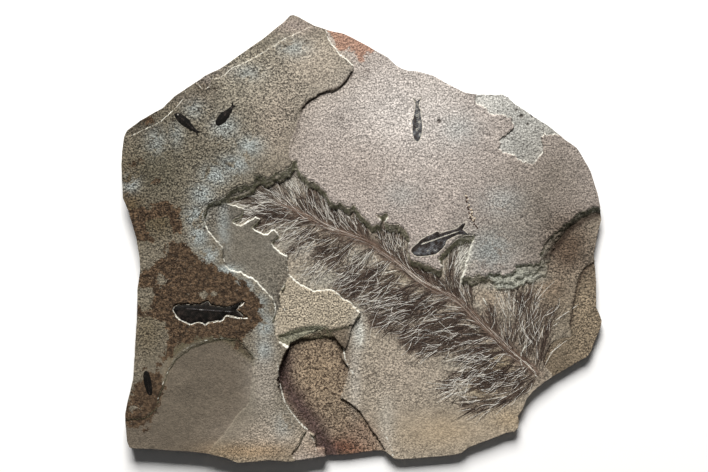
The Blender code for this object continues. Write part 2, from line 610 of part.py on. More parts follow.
class SprayPlanner:
    """Keeps every side spray of the plant clear of the stem, its neighbours and the rock walls."""

    def __init__(self):
        self.bed = segments(FROND_BED_OUTLINE, closed=True)
        self.rim = segments(SLAB_OUTLINE, closed=True)
        self.stem_line = smooth_route(STEM_ROUTE, 1)
        self.stem = segments(self.stem_line)
        self.routes = [smooth_route(route) for route, _ in BRANCHES]
        self.lines = [segments(route) for route in self.routes]

    def stem_clearance(self, point):
        """Return how far a point lies outside the stem."""
        best = math.inf
        travelled = 0.0
        total = route_length(self.stem_line)
        for start, end in self.stem:
            span = end - start
            share = max(0.0, min(1.0, (point - start).dot(span) / span.length_squared))
            width = stem_half_width((travelled + span.length * share) / total)
            best = min(best, (point - start - span * share).length - width)
            travelled += span.length
        return best

    def fits(self, point, number):
        """Tell whether a point of a spray keeps every gap."""
        if not is_inside(point, self.bed) or not is_inside(point, self.rim):
            return False
        if min(distance_to(point, self.bed), distance_to(point, self.rim)) < WALL_GAP:
            return False
        if self.stem_clearance(point) < STRAND_GAP:
            return False
        own = distance_to(point, self.lines[number])
        others = min(
            distance_to(point, line) for index, line in enumerate(self.lines) if index != number
        )
        return own + STRAND_GAP < others

    def edge_point(self, number, distance, side, wanted, previous=None):
        """Return the point beside a spray's route that is as near the wanted width as fits."""
        spot, along = point_along(self.routes[number], distance)
        across = Vector((-along.y, along.x)) * side
        width = wanted
        while width > NARROWEST:
            point = spot + across * width
            start = point if previous is None else previous
            if all(self.fits(start.lerp(point, share), number) for share in EDGE_TESTS):
                return point
            width -= WIDTH_STEP
        return spot + across * NARROWEST

    def start_distance(self, number):
        """Return how far along its route a spray comes clear of the stem."""
        distance = 0.0
        while self.stem_clearance(point_along(self.routes[number], distance)[0]) < FORK_CLEARANCE:
            distance += START_STEP
        return distance

    def outline(self, number):
        """Return the toothed outline of one side spray, its teeth leaning to the tip."""
        route = self.routes[number]
        greatest = BRANCHES[number][1]
        total = route_length(route)
        begin = self.start_distance(number)
        count = max(FEWEST_TEETH, round((total - begin) / STRAND_PITCH))
        pitch = (total - begin) / (count + TIP_SHARE)
        lead = min(pitch * TOOTH_LEAD_SHARE, STRAND_LEAD)
        sides = {}
        for side in (1, -1):
            edge = [self.edge_point(number, begin, side, FORK_HALF_WIDTH)]
            for tooth in range(count):
                distance = begin + pitch * (tooth + TOOTH_START)
                share = (distance - begin) / (total - begin)
                spread = greatest * math.sin(math.pi * (SWELL_START + SWELL_SPAN * share)) ** SWELL_POWER
                edge.append(self.edge_point(number, distance, side, spread * NOTCH_SHARE, edge[-1]))
                edge.append(self.edge_point(number, distance + lead, side, spread, edge[-1]))
            sides[side] = edge
        tip, _ = point_along(route, total)
        return [tuple(point) for point in sides[1] + [tip] + sides[-1][::-1]]


def build_stem(parts, material):
    """Build the plant's main axis as a tapering strip."""
    line = smooth_route(STEM_ROUTE, 1)
    total = route_length(line)
    left = []
    right = []
    travelled = 0.0
    for index, point in enumerate(line):
        before = line[max(index - 1, 0)]
        after = line[min(index + 1, len(line) - 1)]
        along = (after - before).normalized()
        across = Vector((-along.y, along.x))
        if index:
            travelled += (point - line[index - 1]).length
        width = stem_half_width(travelled / total)
        left.append(tuple(point + across * width))
        right.append(tuple(point - across * width))
    low = FROND_BED + GAP
    stem = flat_solid("frond_stem", left + right[::-1], low, low + STEM_THICKNESS, parts)
    stem.data.materials.append(material)
    return stem


def build_branches(parts, material):
    """Build every side spray of the plant as its own toothed leaf of rock-bound carbon."""
    planner = SprayPlanner()
    low = FROND_BED + GAP
    for number in range(len(BRANCHES)):
        name = "frond_branch_%02d" % (number + 1)
        branch = flat_solid(name, planner.outline(number), low, low + BRANCH_THICKNESS, parts)
        branch.data.materials.append(material)


def fish_flank(name, plan, low, cutters):
    """Build the rounded flank of a fish, flat underneath, and return it as a joining shape."""
    shape = bmesh.new()
    bmesh.ops.create_uvsphere(shape, u_segments=FLANK_SEGMENTS, v_segments=FLANK_RINGS, radius=1.0)
    half_length = plan.length * FLANK_HALF_LENGTH
    half_depth = plan.half_depth * FLANK_HALF_DEPTH
    size = Matrix.Diagonal((half_length * MM, half_depth * MM, plan.rise * MM, 1.0))
    bmesh.ops.transform(shape, matrix=size, verts=shape.verts)
    everything = shape.verts[:] + shape.edges[:] + shape.faces[:]
    bmesh.ops.bisect_plane(
        shape, geom=everything, plane_co=(0, 0, FLANK_CUT * MM), plane_no=(0, 0, 1), clear_inner=True
    )
    rim = [edge for edge in shape.edges if edge.is_boundary]
    bmesh.ops.edgeloop_fill(shape, edges=rim)
    bmesh.ops.recalc_face_normals(shape, faces=shape.faces)
    mesh = bpy.data.meshes.new(name + "_flank")
    shape.to_mesh(mesh)
    shape.free()
    body = bpy.data.objects.new(name + "_flank", mesh)
    centre = placed(plan.spot(FLANK_CENTRE, 0.0) + plan.across * plan.lean)
    body.location = (centre.x * MM, centre.y * MM, (low + FLANK_SINK) * MM)
    body.rotation_euler.z = math.atan2(plan.along.y, plan.along.x)
    cutters.objects.link(body)
    return hide_as_cutter(body)


def build_fish(name, parts, cutters, material):
    """Build one fish, its fins and tail a thin plate and the flank of a large one rounded."""
    plan = FISH[name]
    low = plan.floor + GAP
    plate = FISH_PLATE if plan.rise else SMALL_FISH_PLATE
    outline = OWN_OUTLINES.get(name) or plan.outline()
    fish = flat_solid(name, outline, low, low + plate, parts)
    if plan.rise:
        combine(fish, fish_flank(name, plan, low, cutters), "UNION")
    fish.data.materials.append(material)
    return fish


def build_backbone(parts, cutters, material):
    """Build the run of loose vertebrae on its thin common strip."""
    line = smooth_route(BACKBONE_ROUTE, 1)
    total = route_length(line)
    low = RIGHT_PLATE + GAP
    left = []
    right = []
    for index in range(STRIP_STEPS + 1):
        spot, along = point_along(line, total * index / STRIP_STEPS)
        across = Vector((-along.y, along.x))
        left.append(tuple(spot + across * STRIP_HALF_WIDTH))
        right.append(tuple(spot - across * STRIP_HALF_WIDTH))
    strip = flat_solid("backbone_fragment", left + right[::-1], low, low + STRIP_THICKNESS, parts)
    shape = bmesh.new()
    count = round(total / BEAD_PITCH)
    for index in range(count):
        spot, along = point_along(line, total * (index + 0.5) / count)
        across = Vector((-along.y, along.x))
        centre = placed(spot + across * BEAD_SWAY * (-1) ** index)
        height = low + BEAD_SINK + BEAD_HEIGHT / 2
        place = Matrix.Translation((centre.x * MM, centre.y * MM, height * MM))
        bmesh.ops.create_cone(
            shape, cap_ends=True, segments=BEAD_SIDES, radius1=BEAD_RADIUS * MM,
            radius2=BEAD_RADIUS * BEAD_TOP_SHARE * MM, depth=BEAD_HEIGHT * MM, matrix=place,
        )
    mesh = bpy.data.meshes.new("vertebrae")
    shape.to_mesh(mesh)
    shape.free()
    beads = bpy.data.objects.new("vertebrae", mesh)
    cutters.objects.link(beads)
    combine(strip, hide_as_cutter(beads), "UNION")
    strip.data.materials.append(material)
    return strip


def main():
    """Build the whole part."""
    clear_scene()
    parts = new_collection("fossil_mural")
    cutters = new_collection("cutters")
    stone = plain_material("limestone", (0.52, 0.45, 0.38), 0.92)
    plant = plain_material("plant_carbon", (0.16, 0.12, 0.10), 0.8)
    stem_bark = plain_material("stem_carbon", (0.20, 0.13, 0.10), 0.8)
    bone = plain_material("dark_bone", (0.07, 0.06, 0.06), 0.55)
    spine = plain_material("brown_bone", (0.22, 0.14, 0.09), 0.6)
    build_slab(parts, cutters, stone)
    build_stem(parts, stem_bark)
    build_branches(parts, plant)
    for name in FISH:
        build_fish(name, parts, cutters, bone)
    build_backbone(parts, cutters, spine)


main()
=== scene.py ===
"""Dresses the fossil mural: a split and chiselled limestone slab, the carbon film of a
long feathery plant, six small fish and a run of loose vertebrae.

The slab lies on a pale floor with its picture face up. +Y is the picture's top.
Places on the face are in millimetres from the middle of the photograph's slab,
as in the part's source, and meshes are in metres in the part's own frame.
"""

from __future__ import annotations

import logging
import math
from collections.abc import Callable
from dataclasses import dataclass, field
from enum import Enum

import bmesh
import bpy
import numpy as np
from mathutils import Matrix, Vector
from mathutils.bvhtree import BVHTree


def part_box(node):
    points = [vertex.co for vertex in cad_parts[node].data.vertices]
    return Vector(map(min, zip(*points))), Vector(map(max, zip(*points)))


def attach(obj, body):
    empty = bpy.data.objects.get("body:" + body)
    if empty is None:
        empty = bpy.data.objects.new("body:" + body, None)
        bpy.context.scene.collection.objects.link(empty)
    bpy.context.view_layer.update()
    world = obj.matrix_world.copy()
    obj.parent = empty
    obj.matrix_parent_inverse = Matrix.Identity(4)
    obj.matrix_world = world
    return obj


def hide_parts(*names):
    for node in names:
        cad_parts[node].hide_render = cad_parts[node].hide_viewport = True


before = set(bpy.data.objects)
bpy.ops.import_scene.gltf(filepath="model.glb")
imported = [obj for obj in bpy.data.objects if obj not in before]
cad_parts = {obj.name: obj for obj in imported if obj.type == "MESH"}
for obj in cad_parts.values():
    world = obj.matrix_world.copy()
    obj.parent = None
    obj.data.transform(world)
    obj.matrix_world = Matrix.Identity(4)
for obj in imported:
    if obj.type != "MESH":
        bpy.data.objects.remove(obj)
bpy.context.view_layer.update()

logging.basicConfig(level=logging.INFO, format="%(name)s: %(message)s")
LOG = logging.getLogger("fossil_mural")

MM = 0.001
BODY = "root"

# The photograph: its frame, its scale and its centre on the picture face
PHOTO_WIDTH = 708
MM_PER_PIXEL = 1.6
PHOTO_CENTRE = (-16.0, 4.0)

# From places on the picture face to the part's own frame
SHIFT_X = 3.0
SHIFT_Y = 0.5

# The heights of the solid's planes, in millimetres, and how deep a small fish's pocket is at most
LEFT_PLATE = 30.0
RIGHT_PLATE = 26.0
FROND_BED = 17.0
WALL_FOOT = 18.6
RIM_LEDGE = 22.6
TRENCH_FLOOR = (26.6, 27.2)
DEEPEST_POCKET = 2.2

# The height of the face that the camera is framed on, in millimetres
FACE_HEIGHT = 24.0

# Where rays start, over the slab, and how far a border is first drawn down, both in metres
RAY_TOP = 0.1
FIRST_DROP = 0.001

# How many places a strand's route has, and which of them is its middle
STRAND_STEPS = 9
STRAND_MIDDLE = STRAND_STEPS // 2

# Where a mesh's tone meets each of a finish's four colours, and the display colour of the plant's palest bed
TONE_STOPS = (0.05, 0.4, 0.7, 0.95)
PALE_BED = (168, 166, 156)

# The share of the light that the rock sends back, against a white card
ROCK_SHARE = 0.80

Points = tuple[tuple[float, float], ...]
Colour = tuple[float, float, float]
Heights = Callable[[np.ndarray, np.ndarray], np.ndarray]

SLAB_OUTLINE: Points = (
    (-113, 358), (-105, 355), (-80, 341), (-52, 332), (-32, 328), (-8, 316), (10, 306), (38, 290),
    (52, 277), (60, 272), (70, 269), (85, 268), (110, 261), (130, 250), (160, 234), (180, 231),
    (222, 231), (232, 226), (240, 217), (262, 202), (280, 190), (303, 175), (320, 160), (340, 146),
    (350, 130), (363, 107), (374, 72), (379, 45), (381, 30), (376, 12), (369, -25), (373, -70),
    (373, -110), (378, -120), (382, -132), (380, -143), (369, -167), (365, -180), (358, -190),
    (338, -201), (305, -220), (290, -230), (272, -245), (262, -257), (254, -275), (247, -285),
    (249, -295), (247, -305), (240, -310), (228, -312), (203, -322), (170, -334), (157, -344),
    (145, -347), (115, -350), (65, -354), (50, -354), (36, -343), (28, -340), (15, -341), (-30, -347),
    (-60, -348), (-95, -353), (-120, -357), (-150, -354), (-202, -359), (-220, -351), (-250, -344),
    (-280, -341), (-340, -337), (-375, -335), (-379, -325), (-382, -295), (-382, -280), (-376, -252),
    (-369, -225), (-366, -165), (-363, -125), (-362, -80), (-358, -50), (-359, -30), (-364, 0),
    (-376, 42), (-386, 65), (-388, 120), (-387, 140), (-383, 165), (-379, 173), (-358, 189),
    (-322, 209), (-304, 227), (-280, 243), (-254, 261), (-230, 272), (-200, 293), (-160, 321),
    (-128, 347), (-118, 357),
)

# The two large fish as they lie, along the back from snout to tail and home along the belly
LEFT_FISH: Points = (
    (-305, -114), (-301.5, -108.5), (-295, -106.6), (-285, -106.3), (-272, -107.4), (-259, -106),
    (-249.6, -101.4), (-246.5, -107), (-238, -109), (-225, -110.6), (-213, -110.2), (-205.5, -106.6),
    (-199, -103.4), (-194.6, -102.2), (-200, -108.2), (-204.6, -114), (-199, -119.8), (-193.4, -124.6),
    (-194, -126.6), (-203, -125.6), (-210, -123.2), (-217, -121.6), (-222.8, -122.8), (-226.6, -130),
    (-228.5, -131), (-236, -130.7), (-245, -132.7), (-250.4, -133.7), (-254, -137.2), (-257.4, -134.6),
    (-263, -133.2), (-272, -134.6), (-277, -137), (-284.6, -133.2), (-293.2, -129.6), (-300, -123),
)
BY_FROND_FISH: Points = (
    (75, -20), (77, -15), (81, -12), (86, -8), (90, -3), (95, 0), (100, 3), (108, 6), (117, 11.5),
    (122, 7.5), (132, 11), (140, 13), (148, 15.5), (154, 20), (165, 28.5), (157.5, 14), (165, 7.5),
    (160, 7), (150, 6), (143, 3), (135, -1), (131, -4), (130, -10), (126, -15), (120, -21),
    (114, -25), (104, -27), (95, -28), (85, -28.5), (80, -26),
)

# One fish of unit length and unit half depth, whole and without its tail
WHOLE_FISH: Points = (
    (0.0, 0.0), (0.02, 0.3), (0.07, 0.62), (0.16, 0.88), (0.30, 1.0), (0.42, 0.96), (0.50, 1.06),
    (0.56, 0.8), (0.68, 0.6), (0.80, 0.42), (0.90, 0.3), (0.97, 0.42), (1.10, 1.0), (1.0, 0.06),
    (1.0, -0.06), (1.10, -1.0), (0.97, -0.42), (0.90, -0.3), (0.82, -0.44), (0.78, -0.7), (0.68, -0.7),
    (0.54, -0.92), (0.42, -1.04), (0.27, -1.02), (0.15, -0.84), (0.06, -0.56), (0.02, -0.3),
)
TAILLESS_FISH: Points = (
    (0.0, 0.0), (0.03, 0.4), (0.12, 0.8), (0.3, 0.98), (0.5, 1.0), (0.7, 0.92), (0.9, 0.74), (1.0, 0.5),
    (0.98, -0.3), (0.86, -0.66), (0.66, -0.86), (0.42, -0.98), (0.2, -0.86), (0.06, -0.52),
)

# Brown mineral stains on the left side: their outlines and the paler holes in them
BIG_STAIN: Points = (
    (-300, -6), (-285, -10), (-272, -24), (-250, -38), (-225, -50), (-212, -58), (-200, -66), (-188, -76),
    (-176, -88), (-166, -98), (-160, -108), (-168, -116), (-163, -128), (-172, -140), (-180, -152),
    (-192, -158), (-200, -168), (-214, -160), (-240, -157), (-262, -160), (-280, -164), (-294, -174),
    (-306, -186), (-318, -202), (-334, -216), (-334, -204), (-316, -174), (-312, -152), (-322, -136),
    (-345, -127), (-372, -125), (-372, -106), (-345, -103), (-335, -92), (-350, -80), (-370, -72),
    (-366, -58), (-345, -50), (-335, -42), (-325, -34), (-316, -22), (-316, -8),
)
SMALL_STAINS: tuple[Points, ...] = (
    ((-380, 44), (-352, 50), (-340, 46), (-330, 57), (-318, 59), (-304, 52), (-294, 44), (-295, 26),
     (-306, 22), (-316, 36), (-334, 31), (-350, 26), (-380, 22)),
    ((-380, 30), (-352, 28), (-349, 14), (-340, 4), (-326, 2), (-330, -5), (-352, -7), (-370, -2)),
    ((-310, 30), (-293, 30), (-291, 8), (-307, 6)),
)
FOOT_STAIN: Points = (
    (-350, -204), (-335, -212), (-322, -220), (-317, -240), (-325, -262), (-334, -284), (-346, -300),
    (-372, -304), (-392, -298), (-392, -262), (-372, -250), (-364, -232), (-354, -222),
)
RED_CORNER: Points = (
    (-66, 350), (-62, 334), (-50, 318), (-42, 301), (-28, 297), (-25, 303), (-15, 298), (-12, 285),
    (-5, 281), (2, 288), (8, 296), (20, 299), (40, 292), (44, 300), (20, 330), (-40, 350),
)

# Each side spray of the plant: its route from fork to tip, and half its greatest width
BRANCHES = (
    (((-143, 58), (-175, 60), (-212, 61)), 9),
    (((-129, 54), (-150, 68), (-174, 78)), 8),
    (((-109, 46), (-127, 66), (-146, 86)), 9),
    (((-82, 32), (-98, 64), (-112, 108)), 13),
    (((-60, 22), (-73, 44), (-82, 74)), 10),
    (((-40, 13), (-52, 32), (-63, 58)), 8),
    (((-17, 5), (-32, 26), (-43, 44)), 8),
    (((8, -4), (-6, 14), (-18, 42)), 9),
    (((44, -30), (36, -10), (29, 15)), 9),
    (((74, -54), (62, -28), (50, 10)), 10),
    (((104, -75), (96, -62), (84, -50)), 8),
    (((134, -88), (126, -76), (113, -64)), 8),
    (((150, -97), (143, -70), (147, -40), (164, -4)), 12),
    (((172, -119), (166, -102), (159, -84)), 10),
    (((212, -158), (208, -140), (204, -116)), 9),
    (((238, -184), (236, -150), (241, -115), (244, -88)), 12),
    (((258, -198), (262, -160), (264, -125), (268, -84)), 12),
    (((279, -214), (284, -180), (290, -145), (302, -112)), 12),
    (((-118, 48), (-160, 43), (-203, 29)), 9),
    (((-98, 38), (-135, 28), (-174, 19)), 9),
    (((-76, 27), (-110, 10), (-143, -7)), 10),
    (((-54, 15), (-85, 0), (-120, -20)), 9),
    (((-34, 8), (-60, -18), (-98, -42)), 9),
    (((-12, 1), (-38, -27), (-80, -60)), 10),
    (((16, -12), (-8, -42), (-48, -70)), 11),
    (((42, -32), (12, -58), (-36, -86)), 11),
    (((66, -50), (30, -76), (-20, -98)), 11),
    (((90, -70), (55, -92), (0, -112)), 10),
    (((114, -83), (80, -104), (14, -130)), 10),
    (((142, -94), (105, -110), (70, -128), (30, -146)), 10),
    (((170, -119), (140, -128), (100, -142), (60, -160)), 11),
    (((191, -140), (150, -146), (110, -158), (72, -174)), 9),
    (((206, -154), (170, -161), (130, -171), (88, -180)), 8),
    (((220, -169), (190, -178), (168, -188), (150, -200)), 8),
    (((232, -181), (200, -197), (172, -210), (138, -225)), 9),
    (((246, -192), (212, -215), (170, -234), (128, -246)), 9),
    (((264, -206), (236, -222), (210, -232), (186, -238)), 8),
    (((277, -217), (250, -240), (215, -258), (158, -270)), 12),
)
STEM_ROUTE: Points = (
    (283, -219), (261, -202), (241, -187), (224, -172), (209, -156), (194, -141), (180, -128),
    (168, -116), (156, -104), (145, -95), (130, -88), (115, -82), (100, -74), (86, -65), (72, -54),
    (58, -42), (44, -32), (31, -23), (18, -12), (4, -4), (-12, 2), (-30, 8), (-50, 15), (-68, 24),
    (-86, 33), (-104, 42), (-122, 51), (-140, 57),
)


class Ground(Enum):
    """The rock's colours by the bedding plane that shows, as display red, green and blue."""

    LEFT = (126, 118, 103)
    RIGHT = (176, 165, 157)
    TAN = (182, 170, 150)
    GREY = (120, 114, 103)
    BED = (164, 153, 137)
    STRIP = (132, 118, 99)
    DEEP = (163, 145, 123)
    ROUND = (112, 102, 89)
    PATCH = (196, 196, 190)
    LEDGE = (176, 178, 164)
    SLOPE = (134, 130, 110)
    WEDGE = (118, 107, 92)


def display(red: float, green: float, blue: float) -> Colour:
    """Turn a display colour of 0 to 255 into a linear one, as bright as the rock sends it back.

    Args:
        red: The red channel.
        green: The green channel.
        blue: The blue channel.

    Returns:
        The linear colour.
    """
    def linear(value: float) -> float:
        """Undo the display curve for one channel."""
        level = value / 255.0
        return level / 12.92 if level <= 0.04045 else ((level + 0.055) / 1.055) ** 2.4

    return tuple(linear(value) * ROCK_SHARE for value in (red, green, blue))


def smooth_step(low: float, high: float, values: np.ndarray) -> np.ndarray:
    """Rise smoothly from 0 at low to 1 at high."""
    share = np.clip((values - low) / (high - low), 0.0, 1.0)
    return share * share * (3.0 - 2.0 * share)


def lattice_noise(x: np.ndarray, y: np.ndarray, wavelength: float, seed: int) -> np.ndarray:
    """Return smooth noise from -1 to 1.

    Args:
        x: Places across, in millimetres.
        y: Places up, in millimetres.
        wavelength: The size of one lump, in millimetres.
        seed: Which noise it is.

    Returns:
        One value for each place.
    """
    table = np.random.default_rng(seed).random((256, 256))
    u = np.asarray(x) / wavelength + 1037.2
    v = np.asarray(y) / wavelength + 1091.7
    column = np.floor(u).astype(int)
    row = np.floor(v).astype(int)
    du = u - column
    dv = v - row
    du = du * du * (3 - 2 * du)
    dv = dv * dv * (3 - 2 * dv)
    low = table[column & 255, row & 255] * (1 - du) + table[(column + 1) & 255, row & 255] * du
    high = table[column & 255, (row + 1) & 255] * (1 - du) + table[(column + 1) & 255, (row + 1) & 255] * du
    return (low * (1 - dv) + high * dv) * 2 - 1


def fractal_noise(x: np.ndarray, y: np.ndarray, wavelength: float, seed: int, octaves: int = 3) -> np.ndarray:
    """Return noise of several sizes, each half as large and half as strong as the last."""
    total = np.zeros_like(np.asarray(x, float))
    strength = 1.0
    for octave in range(octaves):
        total += strength * lattice_noise(x, y, wavelength / 2**octave, seed + 17 * octave)
        strength *= 0.5
    return total / (2 - 2 ** (1 - octaves))


def signed_distance(x: np.ndarray, y: np.ndarray, outline: Points) -> np.ndarray:
    """Return the distance to an outline of the picture face, positive inside it.

    Args:
        x: Places across, in millimetres.
        y: Places up, in millimetres.
        outline: The closed outline.

    Returns:
        The signed distances in millimetres.
    """
    shape = np.shape(x)
    x = np.ravel(x)
    y = np.ravel(y)
    best = np.full(x.shape, np.inf)
    inside = np.zeros(x.shape, bool)
    for index, (x0, y0) in enumerate(outline):
        x1, y1 = outline[(index + 1) % len(outline)]
        dx = x1 - x0
        dy = y1 - y0
        share = np.clip(((x - x0) * dx + (y - y0) * dy) / max(dx * dx + dy * dy, 1e-9), 0, 1)
        best = np.minimum(best, (x - x0 - share * dx) ** 2 + (y - y0 - share * dy) ** 2)
        if y0 != y1:
            crosses = (y0 > y) != (y1 > y)
            inside ^= crosses & (x < x0 + (y - y0) / (y1 - y0) * dx)
    distance = np.sqrt(best)
    return np.where(inside, distance, -distance).reshape(shape)


def oval_reach(x: np.ndarray, y: np.ndarray, oval: tuple[float, ...]) -> np.ndarray:
    """Return how far places are from an oval's middle: 0 there and 1 on its rim, squared.

    Args:
        x: Places across, in millimetres.
        y: Places up, in millimetres.
        oval: Its place and its reach, across and up; what follows isn't read.
    """
    return ((x - oval[0]) / oval[2]) ** 2 + ((y - oval[1]) / oval[3]) ** 2


def left_of(along: np.ndarray) -> np.ndarray:
    """Return the directions a quarter turn to the left of others."""
    return np.stack([-along[:, 1], along[:, 0]], axis=1)


def blurred(values: np.ndarray, weights: np.ndarray, radius: float) -> np.ndarray:
    """Blur a grid with a round soft brush, counting only the cells that have weight.

    Args:
        values: The grid.
        weights: How much each cell counts.
        radius: The brush's radius in cells.

    Returns:
        The blurred grid.
    """
    rows = np.fft.fftfreq(values.shape[0])[:, None]
    columns = np.fft.rfftfreq(values.shape[1])[None, :]
    brush = np.exp(-2 * (math.pi * radius) ** 2 * (rows**2 + columns**2))
    top = np.fft.irfft2(np.fft.rfft2(values * weights) * brush, values.shape)
    under = np.fft.irfft2(np.fft.rfft2(weights) * brush, values.shape)
    return top / np.maximum(under, 1e-4)


def paleness(x: np.ndarray, y: np.ndarray) -> np.ndarray:
    """Return how pale the plant and its bed are at places on the face, from 0 to 1."""
    value = np.zeros_like(np.asarray(x, float))
    for *oval, strength in PALE_TUFTS:
        value = np.maximum(value, strength * np.exp(-oval_reach(x, y, oval)))
    return value


def smooth_route(route: Points, rounds: int = 3) -> np.ndarray:
    """Cut a route's corners until it is one smooth line with the same ends."""
    line = np.array(route, float)
    for _ in range(rounds):
        quarter = line[:-1] * 0.75 + line[1:] * 0.25
        three = line[:-1] * 0.25 + line[1:] * 0.75
        middle = np.stack([quarter, three], axis=1).reshape(-1, 2)
        line = np.vstack([line[:1], middle, line[-1:]])
    return line


def along_route(line: np.ndarray, distances: np.ndarray) -> tuple[np.ndarray, np.ndarray]:
    """Return the places and directions at distances along a line.

    Args:
        line: The points of the line.
        distances: How far along, in the line's own units.

    Returns:
        The places and the unit directions there.
    """
    steps = np.linalg.norm(np.diff(line, axis=0), axis=1)
    reached = np.concatenate([[0.0], np.cumsum(steps)])
    places = np.stack([np.interp(distances, reached, line[:, axis]) for axis in (0, 1)], axis=-1)
    ahead = np.stack([np.interp(distances + 1.0, reached, line[:, axis]) for axis in (0, 1)], axis=-1)
    behind = np.stack([np.interp(distances - 1.0, reached, line[:, axis]) for axis in (0, 1)], axis=-1)
    direction = ahead - behind
    direction /= np.maximum(np.linalg.norm(direction, axis=-1, keepdims=True), 1e-9)
    return places, direction


def line_length(line: np.ndarray) -> float:
    """Return the length of a line."""
    return float(np.linalg.norm(np.diff(line, axis=0), axis=1).sum())


def deselect_all() -> None:
    """Leave edit mode and select nothing."""
    if bpy.context.mode != "OBJECT":
        bpy.ops.object.mode_set(mode="OBJECT")
    bpy.ops.object.select_all(action="DESELECT")


def take_hold(item: bpy.types.Object) -> None:
    """Make one object the only selected and active one."""
    deselect_all()
    item.select_set(True)
    bpy.context.view_layer.objects.active = item


def apply_modifier(item: bpy.types.Object, kind: str, **settings: object) -> None:
    """Add a modifier to an object and apply it at once."""
    take_hold(item)
    modifier = item.modifiers.new(kind.title(), kind)
    for name, value in settings.items():
        setattr(modifier, name, value)
    bpy.ops.object.modifier_apply(modifier=modifier.name)


def coordinates(item: bpy.types.Object) -> np.ndarray:
    """Return a mesh's points as an array."""
    places = np.zeros(len(item.data.vertices) * 3, np.float32)
    item.data.vertices.foreach_get("co", places)
    return places.reshape(-1, 3).astype(float)


def put_points(item: bpy.types.Object, places: np.ndarray) -> None:
    """Move a mesh's points to an array's places, in metres."""
    item.data.vertices.foreach_set("co", places.astype(np.float32).ravel())
    item.data.update()


def carry(mesh: bpy.types.Mesh, name: str, values: np.ndarray) -> None:
    """Give each point of a mesh a value that its material reads."""
    layer = mesh.attributes.new(name, "FLOAT", "POINT")
    layer.data.foreach_set("value", values.astype(np.float32))


def cut_away(item: bpy.types.Object, outside: np.ndarray) -> None:
    """Delete the marked points of the active object."""
    bpy.ops.object.mode_set(mode="EDIT")
    bpy.ops.mesh.select_mode(type="VERT")
    bpy.ops.mesh.select_all(action="DESELECT")
    bpy.ops.object.mode_set(mode="OBJECT")
    item.data.vertices.foreach_set("select", outside)
    bpy.ops.object.mode_set(mode="EDIT")
    bpy.ops.mesh.delete(type="VERT")
    bpy.ops.object.mode_set(mode="OBJECT")


def select_border() -> None:
    """Select the open border of the mesh that is in edit mode."""
    bpy.ops.mesh.select_mode(type="EDGE")
    bpy.ops.mesh.select_all(action="DESELECT")
    bpy.ops.mesh.select_non_manifold(extend=False, use_wire=False, use_boundary=True,
                                     use_multi_face=False, use_non_contiguous=False, use_verts=False)


def draw_border(shape: bmesh.types.BMesh, line: np.ndarray, merge: float) -> None:
    """Move a sheet's border onto the nearest points of a line and merge what falls together.

    Args:
        shape: The sheet.
        line: Places on the picture face, in millimetres.
        merge: The greatest distance that is merged, in millimetres.
    """
    rim = [vertex for vertex in shape.verts if vertex.is_boundary]
    for vertex in rim:
        place = np.array((vertex.co.x / MM - SHIFT_X, vertex.co.y / MM - SHIFT_Y))
        nearest = line[np.argmin(((line - place) ** 2).sum(axis=1))]
        vertex.co.x = (nearest[0] + SHIFT_X) * MM
        vertex.co.y = (nearest[1] + SHIFT_Y) * MM
    bmesh.ops.remove_doubles(shape, verts=rim, dist=merge * MM)


def is_pinched(vertex: bmesh.types.BMVert) -> bool:
    """Tell whether a border passes through a point more than once."""
    return vertex.is_boundary and sum(edge.is_boundary for edge in vertex.link_edges) > 2


def settle(piece: bpy.types.Object, slot: str, *nodes: str) -> bpy.types.Object:
    """Let a finished piece ride on the slab's body and stand for its solids."""
    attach(piece, BODY)
    if nodes:
        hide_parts(*nodes)
    LOG.info("%s: %d faces", piece.name, len(piece.data.polygons))
    return piece


